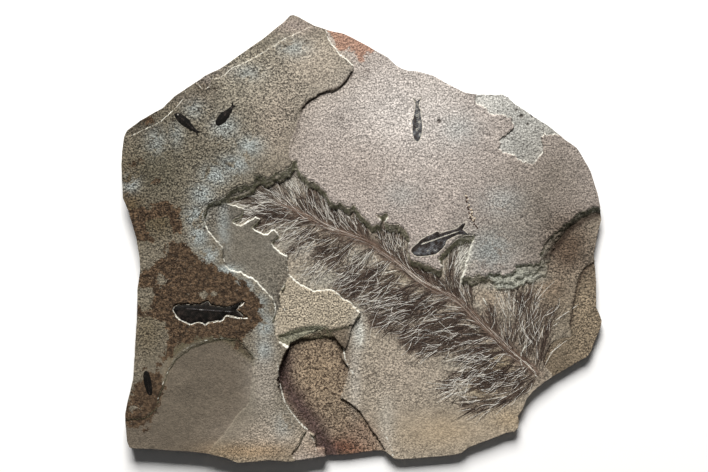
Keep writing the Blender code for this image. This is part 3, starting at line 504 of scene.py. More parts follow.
class Bench:
    """Lays out the shader nodes of one material."""

    def __init__(self, name: str) -> None:
        """Start a material with its principled shader."""
        self.material = bpy.data.materials.new(name)
        self.material.use_nodes = True
        self.tree = self.material.node_tree
        self.shader = self.tree.nodes["Principled BSDF"]
        self.coordinates = self.tree.nodes.new("ShaderNodeTexCoord").outputs["Object"]

    def attribute(self, name: str, output: str = "Fac") -> bpy.types.NodeSocket:
        """Read a value that the mesh carries."""
        node = self.tree.nodes.new("ShaderNodeAttribute")
        node.attribute_name = name
        return node.outputs[output]

    def noise(self, size: float, detail: float = 3.0, rough: float = 0.6,
              distort: float = 0.0) -> bpy.types.NodeSocket:
        """Return noise whose lumps are size millimetres across."""
        node = self.tree.nodes.new("ShaderNodeTexNoise")
        node.inputs["Scale"].default_value = 1.0 / (size * MM)
        node.inputs["Detail"].default_value = detail
        node.inputs["Roughness"].default_value = rough
        node.inputs["Distortion"].default_value = distort
        self.tree.links.new(self.coordinates, node.inputs["Vector"])
        return node.outputs["Fac"]

    def cells(self, size: float) -> bpy.types.NodeSocket:
        """Return the distance pattern of cells that are size millimetres across."""
        node = self.tree.nodes.new("ShaderNodeTexVoronoi")
        node.inputs["Scale"].default_value = 1.0 / (size * MM)
        self.tree.links.new(self.coordinates, node.inputs["Vector"])
        return node.outputs["Distance"]

    def plug(self, value: object, socket: bpy.types.NodeSocket) -> None:
        """Link a socket, or set it to a plain value."""
        if isinstance(value, bpy.types.NodeSocket):
            self.tree.links.new(value, socket)
        elif isinstance(value, tuple) and len(value) == 3 and len(socket.default_value) == 4:
            socket.default_value = (*value, 1.0)
        else:
            socket.default_value = value

    def maths(self, operation: str, first: object, second: object = 0.0) -> bpy.types.NodeSocket:
        """Return the result of a sum, product or the like."""
        node = self.tree.nodes.new("ShaderNodeMath")
        node.operation = operation
        self.plug(first, node.inputs[0])
        self.plug(second, node.inputs[1])
        return node.outputs[0]

    def times(self, first: object, second: object) -> bpy.types.NodeSocket:
        """Return the product of two values."""
        return self.maths("MULTIPLY", first, second)

    def plus(self, first: object, second: object) -> bpy.types.NodeSocket:
        """Return the sum of two values."""
        return self.maths("ADD", first, second)

    def between(self, value: object, low: float, high: float, bottom: float = 0.0,
                top: float = 1.0) -> bpy.types.NodeSocket:
        """Stretch a value from low and high to bottom and top, and clamp it."""
        node = self.tree.nodes.new("ShaderNodeMapRange")
        node.interpolation_type = "SMOOTHSTEP"
        self.plug(value, node.inputs["Value"])
        node.inputs["From Min"].default_value = low
        node.inputs["From Max"].default_value = high
        node.inputs["To Min"].default_value = bottom
        node.inputs["To Max"].default_value = top
        return node.outputs["Result"]

    def mix(self, share: object, first: object, second: object) -> bpy.types.NodeSocket:
        """Mix two colours."""
        node = self.tree.nodes.new("ShaderNodeMix")
        node.data_type = "RGBA"
        self.plug(share, node.inputs[0])
        self.plug(first, node.inputs[6])
        self.plug(second, node.inputs[7])
        return node.outputs[2]

    def scale_colour(self, colour: object, factor: object) -> bpy.types.NodeSocket:
        """Make a colour lighter or darker by a factor."""
        node = self.tree.nodes.new("ShaderNodeVectorMath")
        node.operation = "SCALE"
        self.plug(colour, node.inputs[0])
        self.plug(factor, node.inputs["Scale"])
        return node.outputs[0]

    def ramp(self, value: object, *stops: tuple[float, Colour]) -> bpy.types.NodeSocket:
        """Return a colour that passes through the stops as the value rises."""
        node = self.tree.nodes.new("ShaderNodeValToRGB")
        band = node.color_ramp.elements
        while len(band) < len(stops):
            band.new(0.5)
        for element, (place, colour) in zip(band, stops):
            element.position = place
            element.color = (*colour, 1.0)
        self.plug(value, node.inputs[0])
        return node.outputs[0]

    def bump(self, height: object, depth: float, strength: object = 1.0,
             below: bpy.types.NodeSocket | None = None) -> bpy.types.NodeSocket:
        """Return a normal with relief of depth millimetres."""
        node = self.tree.nodes.new("ShaderNodeBump")
        self.plug(strength, node.inputs["Strength"])
        node.inputs["Distance"].default_value = depth * MM
        self.plug(height, node.inputs["Height"])
        if below is not None:
            self.tree.links.new(below, node.inputs["Normal"])
        return node.outputs["Normal"]

    def finish(self, colour: object, roughness: object, normal: object,
               shine: float = 0.25) -> bpy.types.Material:
        """Join colour, roughness and relief to the shader and return the material."""
        self.plug(colour, self.shader.inputs["Base Color"])
        self.plug(roughness, self.shader.inputs["Roughness"])
        self.plug(normal, self.shader.inputs["Normal"])
        self.shader.inputs["Specular IOR Level"].default_value = shine
        return self.material


@dataclass(frozen=True)
class Limestone:
    """The finish of the slab: mottled split stone, stained, with fresh pale cuts painted brighter where they
    face the light and painted shade on the walls that face away.
    """

    stain_dark: Colour = display(57, 44, 32)
    stain_light: Colour = display(106, 86, 66)
    # pale fresh cut colour, laid thickest as painted highlight on walls that face the light
    cut_lit: Colour = display(240, 238, 226)
    # painted shade: the colour of the walls that face away from the light
    cut_shaded: Colour = display(150, 150, 120)
    blue_film: Colour = display(164, 172, 171)
    red_rust: Colour = display(176, 130, 106)
    carbon: Colour = display(92, 77, 67)
    speck: Colour = display(58, 44, 34)

    def material(self) -> bpy.types.Material:
        """Make the slab's material from the values that its mesh carries."""
        bench = Bench("limestone")
        colour = bench.attribute("ground", "Color")
        rough = bench.attribute("rough")
        grain = bench.noise(2.6, 2, 0.65)
        middle = bench.noise(10, 4, 0.65)
        broad = bench.between(bench.noise(36, 4, 0.6, 0.4), 0.3, 0.7, 0.91, 1.09)
        cover = bench.between(bench.noise(18, 5, 0.7, 0.6), 0.36, 0.50)
        film = bench.times(bench.attribute("blue"), cover)
        colour = bench.mix(bench.times(film, 0.88), colour, self.blue_film)
        colour = bench.scale_colour(colour, bench.times(broad, bench.between(middle, 0.3, 0.7, 0.90, 1.10)))
        colour = self.stained(bench, colour, middle)
        speckle = bench.times(rough, bench.between(grain, 0.33, 0.67, -0.56, 0.56))
        colour = bench.scale_colour(colour, bench.plus(1.0, speckle))
        specks = bench.between(bench.noise(3.2, 3, 0.75), 0.51, 0.56, 0, 0.92)
        specks = bench.times(bench.attribute("speck"), specks)
        flecks = bench.times(rough, bench.between(bench.noise(5.0, 2, 0.6), 0.66, 0.71, 0, 0.5))
        colour = bench.mix(bench.maths("MAXIMUM", specks, flecks), colour, self.speck)
        # the pale cut, brightened as painted highlight where a wall faces the light
        uneven = bench.between(bench.noise(5, 3, 0.6), 0.25, 0.75, -0.22, 0.22)
        lit = bench.plus(bench.attribute("fresh_cut_and_highlight"), uneven)
        colour = bench.mix(bench.between(lit, 0.35, 0.7), colour, self.cut_lit)
        # painted shade on the walls that face the picture's foot, away from the light
        streaks = bench.between(bench.noise(4, 3, 0.7), 0.35, 0.65, 0.1, 0.95)
        painted_bank_shade = bench.times(bench.attribute("painted_wall_shade"), streaks)
        colour = bench.mix(painted_bank_shade, colour, self.cut_shaded)
        # dark specks, holes and cracks, and painted shadows under two ledges
        colour = bench.mix(bench.attribute("dark"), colour, self.speck)
        deep = bench.bump(bench.noise(4.0, 3, 0.6), 3.2, bench.times(rough, 0.8))
        fine = bench.bump(bench.noise(1.9, 2, 0.6), 0.9, 0.8, deep)
        return bench.finish(colour, bench.between(grain, 0.2, 0.8, 0.84, 0.97), fine)

    def stained(self, bench: Bench, colour: object, middle: object) -> object:
        """Lay the brown stain, the rust and the plant's thin film over the rock's colour."""
        wander = bench.between(bench.noise(17, 7, 0.74, 0.9), 0.25, 0.75, -0.46, 0.46)
        amount = bench.between(bench.plus(bench.attribute("stain"), wander), 0.49, 0.56)
        amount = bench.times(amount, bench.between(bench.noise(6, 4, 0.7), 0.60, 0.70, 1.0, 0.35))
        lighter = bench.between(bench.noise(7, 5, 0.75), 0.40, 0.62)
        brown = bench.mix(lighter, self.stain_dark, self.stain_light)
        colour = bench.mix(amount, colour, brown)
        uneven = bench.between(bench.noise(9, 6, 0.75), 0.25, 0.75, -0.4, 0.4)
        rusty = bench.plus(bench.attribute("rust"), uneven)
        colour = bench.mix(bench.between(rusty, 0.45, 0.75, 0.0, 0.75), colour, self.red_rust)
        patchy = bench.plus(bench.attribute("carbon"), bench.between(middle, 0.3, 0.7, -0.2, 0.2))
        return bench.mix(bench.between(patchy, 0.1, 0.8, 0.0, 0.85), colour, self.carbon)


@dataclass(frozen=True)
class TonedFinish:
    """Four colours from dark to pale, which a mesh's tone runs through."""

    name: str
    darkest: Colour
    middle: Colour
    light: Colour
    palest: Colour

    def toned(self, bench: Bench, drift: object) -> bpy.types.NodeSocket:
        """Return the colour at each point's tone, which drifts a little from place to place."""
        tone = bench.plus(bench.attribute("tone"), drift)
        return bench.ramp(tone, *zip(TONE_STOPS, (self.darkest, self.middle, self.light, self.palest)))


@dataclass(frozen=True)
class CarbonFilm(TonedFinish):
    """The finish of the plant: brown to purple-grey film with pale edges, by each strand's tone."""

    def material(self) -> bpy.types.Material:
        """Make the material."""
        bench = Bench(self.name)
        colour = self.toned(bench, bench.between(bench.noise(4, 4, 0.7), 0.2, 0.8, -0.10, 0.10))
        colour = bench.scale_colour(colour, bench.between(bench.noise(1.6, 2, 0.6), 0.2, 0.8, 0.82, 1.18))
        relief = bench.bump(bench.noise(1.1, 3, 0.7), 0.2, 1.0)
        return bench.finish(colour, 0.82, relief)


@dataclass(frozen=True)
class FishBone(TonedFinish):
    """The finish of the fish: black-brown bone and scales with grey-blue and pale flecks."""

    def material(self) -> bpy.types.Material:
        """Make the material."""
        bench = Bench(self.name)
        colour = self.toned(bench, bench.between(bench.noise(6, 5, 0.7, 0.5), 0.25, 0.75, -0.2, 0.2))
        colour = bench.scale_colour(colour, bench.between(bench.cells(1.7), 0.0, 0.6, 0.7, 1.2))
        relief = bench.bump(bench.cells(1.7), 0.3, 0.8)
        relief = bench.bump(bench.noise(0.9, 3, 0.7), 0.2, 0.8, relief)
        return bench.finish(colour, bench.between(bench.noise(3, 3, 0.6), 0.3, 0.7, 0.5, 0.75), relief, 0.1)


@dataclass
class StrandMould:
    """One straight strand, modelled once and laid along many routes."""

    cuts: int = 6
    vertices: np.ndarray = field(init=False)
    faces: list[tuple[int, ...]] = field(init=False)

    def __post_init__(self) -> None:
        """Model the strand: a three-sided bar along X, cut across at even steps."""
        deselect_all()
        bpy.ops.mesh.primitive_cylinder_add(vertices=3, radius=0.5, depth=1.0, rotation=(0, math.pi / 2, 0))
        bar = bpy.context.object
        bpy.ops.object.transform_apply(location=True, rotation=True, scale=True)
        bpy.ops.object.mode_set(mode="EDIT")
        for cut in range(self.cuts):
            bpy.ops.mesh.select_all(action="SELECT")
            place = (cut + 1) / (self.cuts + 1) - 0.5
            bpy.ops.mesh.bisect(plane_co=(place, 0, 0), plane_no=(1, 0, 0))
        bpy.ops.object.mode_set(mode="OBJECT")
        shape = np.array([vertex.co[:] for vertex in bar.data.vertices])
        self.faces = [tuple(polygon.vertices) for polygon in bar.data.polygons]
        bpy.data.objects.remove(bar, do_unlink=True)
        self.vertices = self.unit(shape)

    @staticmethod
    def unit(shape: np.ndarray) -> np.ndarray:
        """Return the bar's points as shares: along 0 to 1, across -1 to 1, up 0 to 1."""
        along = shape[:, 0] - shape[:, 0].min()
        turn = np.degrees(np.arctan2(shape[:, 2], shape[:, 1])) - 45.0
        slot = np.round((turn % 360.0) / 120.0 - 0.25).astype(int) % 3
        corner = np.array([(-1.0, 0.0), (0.0, 1.0), (1.0, 0.0)])
        places = corner[slot]
        return np.column_stack([along / along.max(), places])


@dataclass
class Strands:
    """Many strands gathered into one mesh, each with its own tone."""

    mould: StrandMould
    points: list[np.ndarray] = field(default_factory=list)
    tones: list[np.ndarray] = field(default_factory=list)

    def lay(self, route: np.ndarray, floor: np.ndarray, width: float, height: float,
            tone: tuple[float, float], taper: float = 0.8, sink: float = 0.45) -> None:
        """Lay one strand along a route.

        Args:
            route: Places on the picture face, in millimetres, from root to tip.
            floor: The height of the rock under each place.
            width: The strand's width at its root.
            height: Its rise over the rock at its root.
            tone: Its tone at the root and at the tip.
            taper: How much of its width it loses on the way.
            sink: How deep its underside lies in the rock.
        """
        share = self.mould.vertices[:, 0]
        grid = np.linspace(0.0, 1.0, len(route))
        place = np.stack([np.interp(share, grid, route[:, axis]) for axis in (0, 1)], axis=1)
        level = np.interp(share, grid, floor)
        ahead = np.stack([np.interp(share + 0.04, grid, route[:, axis]) for axis in (0, 1)], axis=1)
        behind = np.stack([np.interp(share - 0.04, grid, route[:, axis]) for axis in (0, 1)], axis=1)
        along = ahead - behind
        along /= np.maximum(np.linalg.norm(along, axis=1, keepdims=True), 1e-9)
        across = left_of(along)
        swell = (1 - taper * share**1.3) * np.where(share < 0.001, 0.6, 1.0)
        spread = place + across * (self.mould.vertices[:, 1] * width / 2 * swell)[:, None]
        rise = level - sink + self.mould.vertices[:, 2] * (height * swell + sink)
        self.points.append(np.column_stack([spread[:, 0] + SHIFT_X, spread[:, 1] + SHIFT_Y, rise]) * MM)
        self.tones.append(tone[0] + (tone[1] - tone[0]) * share)

    def build(self, name: str, material: bpy.types.Material) -> bpy.types.Object:
        """Make the gathered strands one mesh object."""
        size = len(self.mould.vertices)
        faces = [
            tuple(corner + size * number for corner in face)
            for number in range(len(self.points))
            for face in self.mould.faces
        ]
        return mesh_object(name, np.vstack(self.points), faces, np.concatenate(self.tones), material)


def mesh_object(name: str, points: np.ndarray, faces: list[tuple[int, ...]], tones: np.ndarray,
                material: bpy.types.Material) -> bpy.types.Object:
    """Make a mesh object whose points carry a tone, with its faces turned out."""
    mesh = bpy.data.meshes.new(name)
    mesh.from_pydata(points.tolist(), [], faces)
    carry(mesh, "tone", tones)
    shape = bmesh.new()
    shape.from_mesh(mesh)
    bmesh.ops.recalc_face_normals(shape, faces=shape.faces)
    shape.to_mesh(mesh)
    shape.free()
    mesh.materials.append(material)
    item = bpy.data.objects.new(name, mesh)
    bpy.context.scene.collection.objects.link(item)
    return item


@dataclass
class Face:
    """The height and colour of the slab's face on a fine grid."""

    pitch: float = 1.25
    warp: float = 1.5
    across: np.ndarray = field(init=False)
    up: np.ndarray = field(init=False)
    x: np.ndarray = field(init=False)
    y: np.ndarray = field(init=False)
    level: np.ndarray = field(init=False)
    height: np.ndarray = field(init=False)
    edge: np.ndarray = field(init=False)
    shade_wall: np.ndarray = field(init=False)
    masks: dict[str, np.ndarray] = field(default_factory=dict)
    ground: np.ndarray = field(init=False)

    def __post_init__(self) -> None:
        """Read the bedding planes off the solid slab and weather them."""
        low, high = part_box("stone_slab")
        self.across = np.arange(low.x / MM, high.x / MM + self.pitch, self.pitch)
        self.up = np.arange(low.y / MM, high.y / MM + self.pitch, self.pitch)
        across, up = np.meshgrid(self.across, self.up, indexing="ij")
        self.x = across - SHIFT_X
        self.y = up - SHIFT_Y
        self.edge = signed_distance(self.x, self.y, SLAB_OUTLINE)
        self.read_levels()
        self.fill_small_pockets()
        self.shape_walls()
        self.add_relief()

    def read_levels(self) -> None:
        """Drop a ray on the solid at every grid point, a little astray so that ledges are ragged."""
        shape = bmesh.new()
        shape.from_mesh(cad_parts["stone_slab"].data)
        tree = BVHTree.FromBMesh(shape)
        shape.free()
        inner = smooth_step(0.5, 6.0, self.edge)
        strength = np.full(self.x.shape, self.warp)
        for *oval, extra in RAGGED:
            strength += extra * smooth_step(1.4, 0.6, oval_reach(self.x, self.y, oval))
        strength *= inner
        drift = []
        for seed in (5, 6):
            broad = fractal_noise(self.x, self.y, 15.0, seed, 4)
            drift.append(strength * (broad + 0.5 * lattice_noise(self.x, self.y, 4.2, seed + 2)))
        look_x = (self.x + SHIFT_X + drift[0]) * MM
        look_y = (self.y + SHIFT_Y + drift[1]) * MM
        down = Vector((0, 0, -1))
        self.level = np.full(self.x.shape, np.nan)
        inside = np.argwhere(self.edge > -2.0)
        for row, column in inside:
            hit = tree.ray_cast(Vector((look_x[row, column], look_y[row, column], RAY_TOP)), down)[0]
            if hit is not None:
                self.level[row, column] = hit.z / MM
        self.patch_rim()

    def patch_rim(self) -> None:
        """Give the points at the weathered rim and just outside it the level of their neighbours inside."""
        rim = (self.edge < 3.0) & (np.abs(self.level - RIM_LEDGE) < 0.3)
        self.level[rim] = np.nan
        for _ in range(8):
            known = ~np.isnan(self.level)
            values = np.where(known, self.level, 0.0)
            near = np.zeros_like(values)
            count = np.zeros_like(values)
            for step_x, step_y in ((1, 0), (-1, 0), (0, 1), (0, -1)):
                near += np.roll(values, (step_x, step_y), (0, 1))
                count += np.roll(known.astype(float), (step_x, step_y), (0, 1))
            fresh = ~known & (count > 0)
            self.level[fresh] = near[fresh] / count[fresh]
        self.level = np.where(np.isnan(self.level), FROND_BED, self.level)

    def fill_small_pockets(self) -> None:
        """Fill the shallow pockets round the fish that lie in the plate with no trench."""
        for plan in FISH.values():
            if plan.in_trench:
                continue
            middle = (np.array(plan.snout) + np.array(plan.fork)) / 2
            near = np.hypot(self.x - middle[0], self.y - middle[1]) < plan.length() * 0.5 + 18.0
            plate = LEFT_PLATE if middle[0] < -100 else RIGHT_PLATE
            shallow = near & (self.level > plate - DEEPEST_POCKET) & (self.level < plate)
            self.level[shallow] = plate

    def lean_upper_walls(self) -> np.ndarray:
        """Return the levels with each wall that faces the picture's foot leaning out over its plane."""
        level = self.level.copy()
        fall = 0.68 + 0.26 * fractal_noise(self.x, self.y, 26.0, 23, 3)
        fall += 0.12 * lattice_noise(self.x, self.y, 3.6, 24)
        for *oval, value in STEEPNESS:
            share = smooth_step(1.15, 0.95, oval_reach(self.x, self.y, oval))
            fall = fall * (1 - share) + value * share
        for step in range(1, 14):
            above = np.roll(self.level, -step, axis=1)
            leaning = above - fall * step * self.pitch
            inside = np.roll(self.edge, -step, axis=1) > 1.5
            level = np.where(inside & (leaning > level), leaning, level)
        return level

    def shape_walls(self) -> None:
        """Slope the walls between the planes and break them into thin laminae."""
        inside = (self.edge > -1.5).astype(float)
        leaning = self.lean_upper_walls()
        soft = np.clip(leaning - self.level, 0.0, 1.0)
        height = blurred(self.level, inside, 0.42) * (1 - soft) + blurred(leaning, inside, 0.8) * soft
        self.shade_wall = blurred(soft, np.ones_like(soft), 0.6)
        gentle = smooth_step(1.25, 0.7, oval_reach(self.x, self.y, GENTLE_STEP))
        height = height * (1 - gentle) + blurred(self.level, inside, 6.0) * gentle
        step = 1.15
        drift = 0.5 * fractal_noise(self.x, self.y, 22.0, 31, 2)
        shifted = (height + drift) / step
        tread = (np.floor(shifted) + smooth_step(0.62, 1.0, shifted - np.floor(shifted))) * step
        tread -= drift + 0.5 * step - 0.45
        steep = smooth_step(0.12, 0.5, self.steepness(height))
        terraced = steep * (0.75 - 0.5 * self.shade_wall)
        self.height = height * (1 - terraced) + tread * terraced

    def steepness(self, height: np.ndarray) -> np.ndarray:
        """Return the slope of a height grid, as rise over run."""
        run_x, run_y = np.gradient(height, self.pitch)
        return np.hypot(run_x, run_y)

    def add_relief(self) -> None:
        """Add the plates' slow waves, lumps, thin flakes, crumbled patches and pits."""
        inner = smooth_step(0.0, 8.0, self.edge)
        waves = 0.40 * fractal_noise(self.x, self.y, 130.0, 41, 3)
        lumps = 0.16 * fractal_noise(self.x, self.y, 11.0, 43, 3)
        flake = fractal_noise(self.x, self.y, 70.0, 47, 5)
        flakes = -0.30 * smooth_step(0.16, 0.19, flake) - 0.25 * smooth_step(0.38, 0.41, flake)
        rough = smooth_step(24.5, 23.0, self.level) * 0.10 * fractal_noise(self.x, self.y, 5.0, 49, 2)
        self.height = self.height + inner * (waves + lumps + flakes) + rough - 0.35
        self.height -= 0.4 * smooth_step(28.5, 29.5, self.level)
        for *oval, strength in CRUMBLED:
            near = smooth_step(1.2, 0.7, oval_reach(self.x, self.y, oval)) * smooth_step(0.5, 4.0, self.edge)
            crumbs = fractal_noise(self.x, self.y, 9.0, 57, 4)
            self.height += strength * near * np.minimum(crumbs, 0.15)
        for x, y, radius, depth in PITS:
            away = np.hypot(self.x - x, self.y - y) / radius
            away += 0.25 * lattice_noise(self.x, self.y, 4.0, 59)
            self.height -= depth * smooth_step(1.1, 0.55, away)

    def cell(self, x: np.ndarray, y: np.ndarray) -> tuple[np.ndarray, np.ndarray]:
        """Return where places on the picture face fall on the grid, in cells."""
        return (x + SHIFT_X - self.across[0]) / self.pitch, (y + SHIFT_Y - self.up[0]) / self.pitch

    def sample(self, grid: np.ndarray, x: np.ndarray, y: np.ndarray) -> np.ndarray:
        """Read a grid between its points, at places on the picture face."""
        u, v = self.cell(np.asarray(x), np.asarray(y))
        u = np.clip(u, 0, len(self.across) - 1.001)
        v = np.clip(v, 0, len(self.up) - 1.001)
        i = u.astype(int)
        j = v.astype(int)
        du = u - i
        dv = v - j
        if grid.ndim == 3:
            du = du[..., None]
            dv = dv[..., None]
        low = grid[i, j] * (1 - du) + grid[i + 1, j] * du
        high = grid[i, j + 1] * (1 - du) + grid[i + 1, j + 1] * du
        return low * (1 - dv) + high * dv

    def score(self, routes: list[np.ndarray], depths: np.ndarray, widths: np.ndarray) -> None:
        """Press or raise lines into the face under the plant's strands.

        Args:
            routes: Places along each line.
            depths: How far each line rises, or falls if it is negative.
            widths: Half the width of each line.
        """
        rows = []
        for route, depth, width in zip(routes, depths, widths):
            steps = max(2, int(line_length(route) / (self.pitch * 0.9)))
            places, _ = along_route(route, np.linspace(0, line_length(route), steps))
            fade = np.sin(np.linspace(0.2, 1.0, steps) * math.pi * 0.9)
            rows.append(np.column_stack([places, depth * fade, np.full(steps, width)]))
        x, y, depth, width = np.vstack(rows).T
        u, v = self.cell(x, y)
        raised = np.zeros_like(self.height)
        pressed = np.zeros_like(self.height)
        for di in range(-2, 3):
            for dj in range(-2, 3):
                row = np.clip(np.round(u).astype(int) + di, 0, raised.shape[0] - 1)
                column = np.clip(np.round(v).astype(int) + dj, 0, raised.shape[1] - 1)
                away = np.hypot(row - u, column - v) * self.pitch / width
                value = depth * np.exp(-away * away)
                np.maximum.at(raised, (row, column), value)
                np.minimum.at(pressed, (row, column), value)
        self.height += raised + pressed


def laid_over(colours: np.ndarray, colour: tuple[float, ...], weight: np.ndarray) -> np.ndarray:
    """Mix one display colour into a grid of colours, by a weight at each point."""
    return colours * (1 - weight) + np.array(display(*colour)) * weight


@dataclass
class Palette:
    """Works out the rock's colour and stains, with the painted highlight and shade of its walls, at every
    grid point of the face.
    """

    face: Face

    def region_colours(self) -> np.ndarray:
        """Colour each bedding plane, with slow changes from place to place."""
        level = self.face.level
        x = self.face.x
        y = self.face.y
        colours = np.zeros((*level.shape, 3))
        for low, high, plane in PLANES:
            colours[(level >= low) & (level < high)] = display(*plane.value)
        trench = (level > TRENCH_FLOOR[0]) & (level < TRENCH_FLOOR[1]) & (y < 0)
        colours[trench] = display(*Ground.GREY.value)
        for place, reach, colour, share in BLOTCHES:
            away = oval_reach(x, y, place + reach)
            wobble = 0.35 * fractal_noise(x, y, 45.0, int(abs(place[0]) + abs(place[1])), 3)
            weight = share * np.exp(-np.clip(away + wobble, 0.0, 20.0))[..., None]
            colours = laid_over(colours, colour, weight)
        bed = ((level > 16.0) & (level < 18.4))[..., None]
        weight = 0.55 * paleness(x, y)[..., None] * bed
        colours = laid_over(colours, PALE_BED, weight)
        for line, width, ceiling, colour, share in BANDS:
            reach = self.reach_to(line) / width + 0.3 * fractal_noise(x, y, 14.0, 97, 4)
            weight = (share * np.exp(-np.clip(reach, 0.0, 6.0) ** 2) * (level < ceiling))[..., None]
            colours = laid_over(colours, colour, weight)
        return colours

    def reach_to(self, line: Points) -> np.ndarray:
        """Return the distance from every grid point to a smoothed route."""
        points = smooth_route(line, 2)
        reach = np.full(self.face.x.shape, np.inf)
        for start, end in zip(points[:-1], points[1:]):
            step = end - start
            gap_x = self.face.x - start[0]
            gap_y = self.face.y - start[1]
            share = np.clip((gap_x * step[0] + gap_y * step[1]) / max(step @ step, 1e-9), 0.0, 1.0)
            reach = np.minimum(reach, np.hypot(gap_x - share * step[0], gap_y - share * step[1]))
        return reach

    def soft_mask(self, outline: Points, reach: float) -> np.ndarray:
        """Return a value that is a half on an outline and passes to 0 and 1 within a reach."""
        distance = signed_distance(self.face.x, self.face.y, outline)
        return np.clip(0.5 + distance / (2 * reach), 0.0, 1.0)

    def paint(self) -> None:
        """Fill in the face's colour and masks."""
        face = self.face
        x = face.x
        y = face.y
        face.ground = self.region_colours()
        stain = self.soft_mask(BIG_STAIN, 9.0)
        for hole in STAIN_HOLES:
            away = np.hypot((x - hole[0]) / hole[2], (y - hole[1]) / hole[3])
            stain = np.minimum(stain, np.clip(away * 0.55, 0.0, 1.0))
        small = [self.soft_mask(outline, 6.0) for outline in SMALL_STAINS]
        foot = self.soft_mask(FOOT_STAIN, 9.0) * np.clip(np.hypot((x + 366) / 14, (y + 274) / 12), 0.3, 0.85)
        stain = np.maximum.reduce([stain, foot, *small])
        for spot in STAIN_SPOTS:
            away = np.hypot((x - spot[0]) / spot[2], (y - spot[1]) / spot[2])
            stain = np.maximum(stain, spot[3] * np.exp(-away * away))
        upper = face.level > 22.9
        face.masks["stain"] = np.where(upper, stain, 0.0)
        face.masks["rust"] = self.soft_mask(RED_CORNER, 7.0)
        blue = np.zeros_like(x)
        for spot in BLUE_FILM:
            away = np.hypot((x - spot[0]) / spot[2], (y - spot[1]) / spot[3])
            blue = np.maximum(blue, spot[4] * np.exp(-away * away))
        face.masks["blue"] = blue
        self.cut_masks()

    def cut_masks(self) -> None:
        """Mark the walls between the planes by which way they look: painted highlight on those that face the
        light, painted shade on those that face away.
        """
        face = self.face
        run_x, run_y = np.gradient(face.height, face.pitch)
        slope = np.hypot(run_x, run_y)
        wall = smooth_step(0.8, 1.5, slope) * (face.edge > 2.0)
        looks_up = -run_y / np.maximum(slope, 1e-6)
        looks_side = np.abs(run_x) / np.maximum(slope, 1e-6)
        fresh = np.ones_like(slope)
        for *oval, strength in DULL_WALLS:
            fresh = np.minimum(fresh, 1 - strength * smooth_step(1.3, 0.7, oval_reach(face.x, face.y, oval)))
        # painted highlight: walls that face the light, and the side of one listed wall, get more of the pale
        # cut colour
        side = 0.12 + 0.7 * smooth_step(1.2, 0.8, oval_reach(face.x, face.y, PAINTED_HIGHLIGHT_SIDE))
        lit = wall * fresh * np.clip(0.35 + 0.9 * looks_up + side * looks_side, 0.0, 1.0)
        # painted shade on the walls that lean towards the picture's foot, away from the light
        painted_bank_shade = face.shade_wall * smooth_step(0.25, 0.8, slope) * (face.edge > 2.0)
        # pale edges, partly painted highlight
        for line, width, strength in PALE_EDGES_AND_HIGHLIGHTS:
            near = np.exp(-((self.reach_to(line) / width) ** 2))
            lit = np.maximum(lit, near * (strength + 0.35 * fractal_noise(face.x, face.y, 7.0, 93, 3)))
        face.masks["fresh_cut_and_highlight"] = np.clip(lit, 0.0, 1.0)
        face.masks["painted_wall_shade"] = np.clip(painted_bank_shade, 0.0, 1.0)
        calm = np.zeros_like(slope)
        for *oval, strength in SMOOTH_ROCK:
            calm += strength * smooth_step(1.3, 0.7, oval_reach(face.x, face.y, oval))
        face.masks["rough"] = 1.0 - np.clip(calm, -0.6, 0.7)
        face.masks["speck"] = smooth_step(14.0, 12.8, face.level) * (face.edge > 0.5)
        # dark specks, cracks, and painted shadows under two ledges
        dark = np.zeros_like(slope)
        for x, y, radius, strength in DARK_SPOTS:
            away = np.hypot(face.x - x, face.y - y) / radius
            dark = np.maximum(dark, strength * np.exp(-away * away))
        for line, width, strength in DARK_LINES_AND_PAINTED_SHADOWS:
            dark = np.maximum(dark, strength * np.exp(-((self.reach_to(line) / width) ** 2)))
        face.masks["dark"] = dark


# The rock that shows between two heights of the solid's face, in millimetres
PLANES = (
    (10.0, 14.2, Ground.DEEP), (14.2, 16.6, Ground.STRIP), (16.6, 18.4, Ground.BED),
    (18.4, 19.8, Ground.LEDGE), (19.8, 20.5, Ground.SLOPE), (20.5, 21.5, Ground.WEDGE),
    (21.5, 22.6, Ground.LEDGE), (22.6, 23.2, Ground.GREY), (23.2, 23.7, Ground.PATCH),
    (23.7, 25.2, Ground.TAN), (25.2, 26.6, Ground.RIGHT), (26.6, 27.2, Ground.LEFT),
    (27.2, 28.2, Ground.ROUND), (28.2, 40.0, Ground.LEFT),
)

# Where walls are steeper or softer than elsewhere: place, reach across and up, and fall per millimetre
STEEPNESS = (
    (-40, -250, 130, 118, 60.0), (-265, -250, 100, 105, 0.55), (-60, 240, 60, 110, 3.0),
    (320, 40, 50, 60, 1.5),
    (-262, -110, 90, 40, 60.0), (250, 190, 80, 60, 3.0), (-84, -142, 62, 20, 0.45), (330, 30, 50, 40, 0.9),
    (-88, -326, 26, 34, 0.8),
)

# The one step that falls gently, and the one wall whose side gets a painted highlight: place, and reach
# across and up
GENTLE_STEP = (-108, 168, 30, 40)
PAINTED_HIGHLIGHT_SIDE = (162, -38, 18, 38)

# Where ledges are ragged: place, reach across and up, and how far they stray in millimetres
RAGGED = (
    (245, -56, 78, 34, 5.0), (305, -4, 34, 46, 3.2), (345, 40, 34, 20, 1.8), (245, 175, 70, 62, 3.4),
    (-60, 225, 50, 40, 1.2), (-30, 275, 30, 30, 1.2), (30, -250, 40, 90, 1.2), (-30, -110, 60, 30, 1.5),
    (-240, -170, 70, 30, 1.0), (-120, 100, 70, 40, 1.6), (-50, 84, 50, 40, 2.0), (10, 50, 50, 36, 1.6),
)

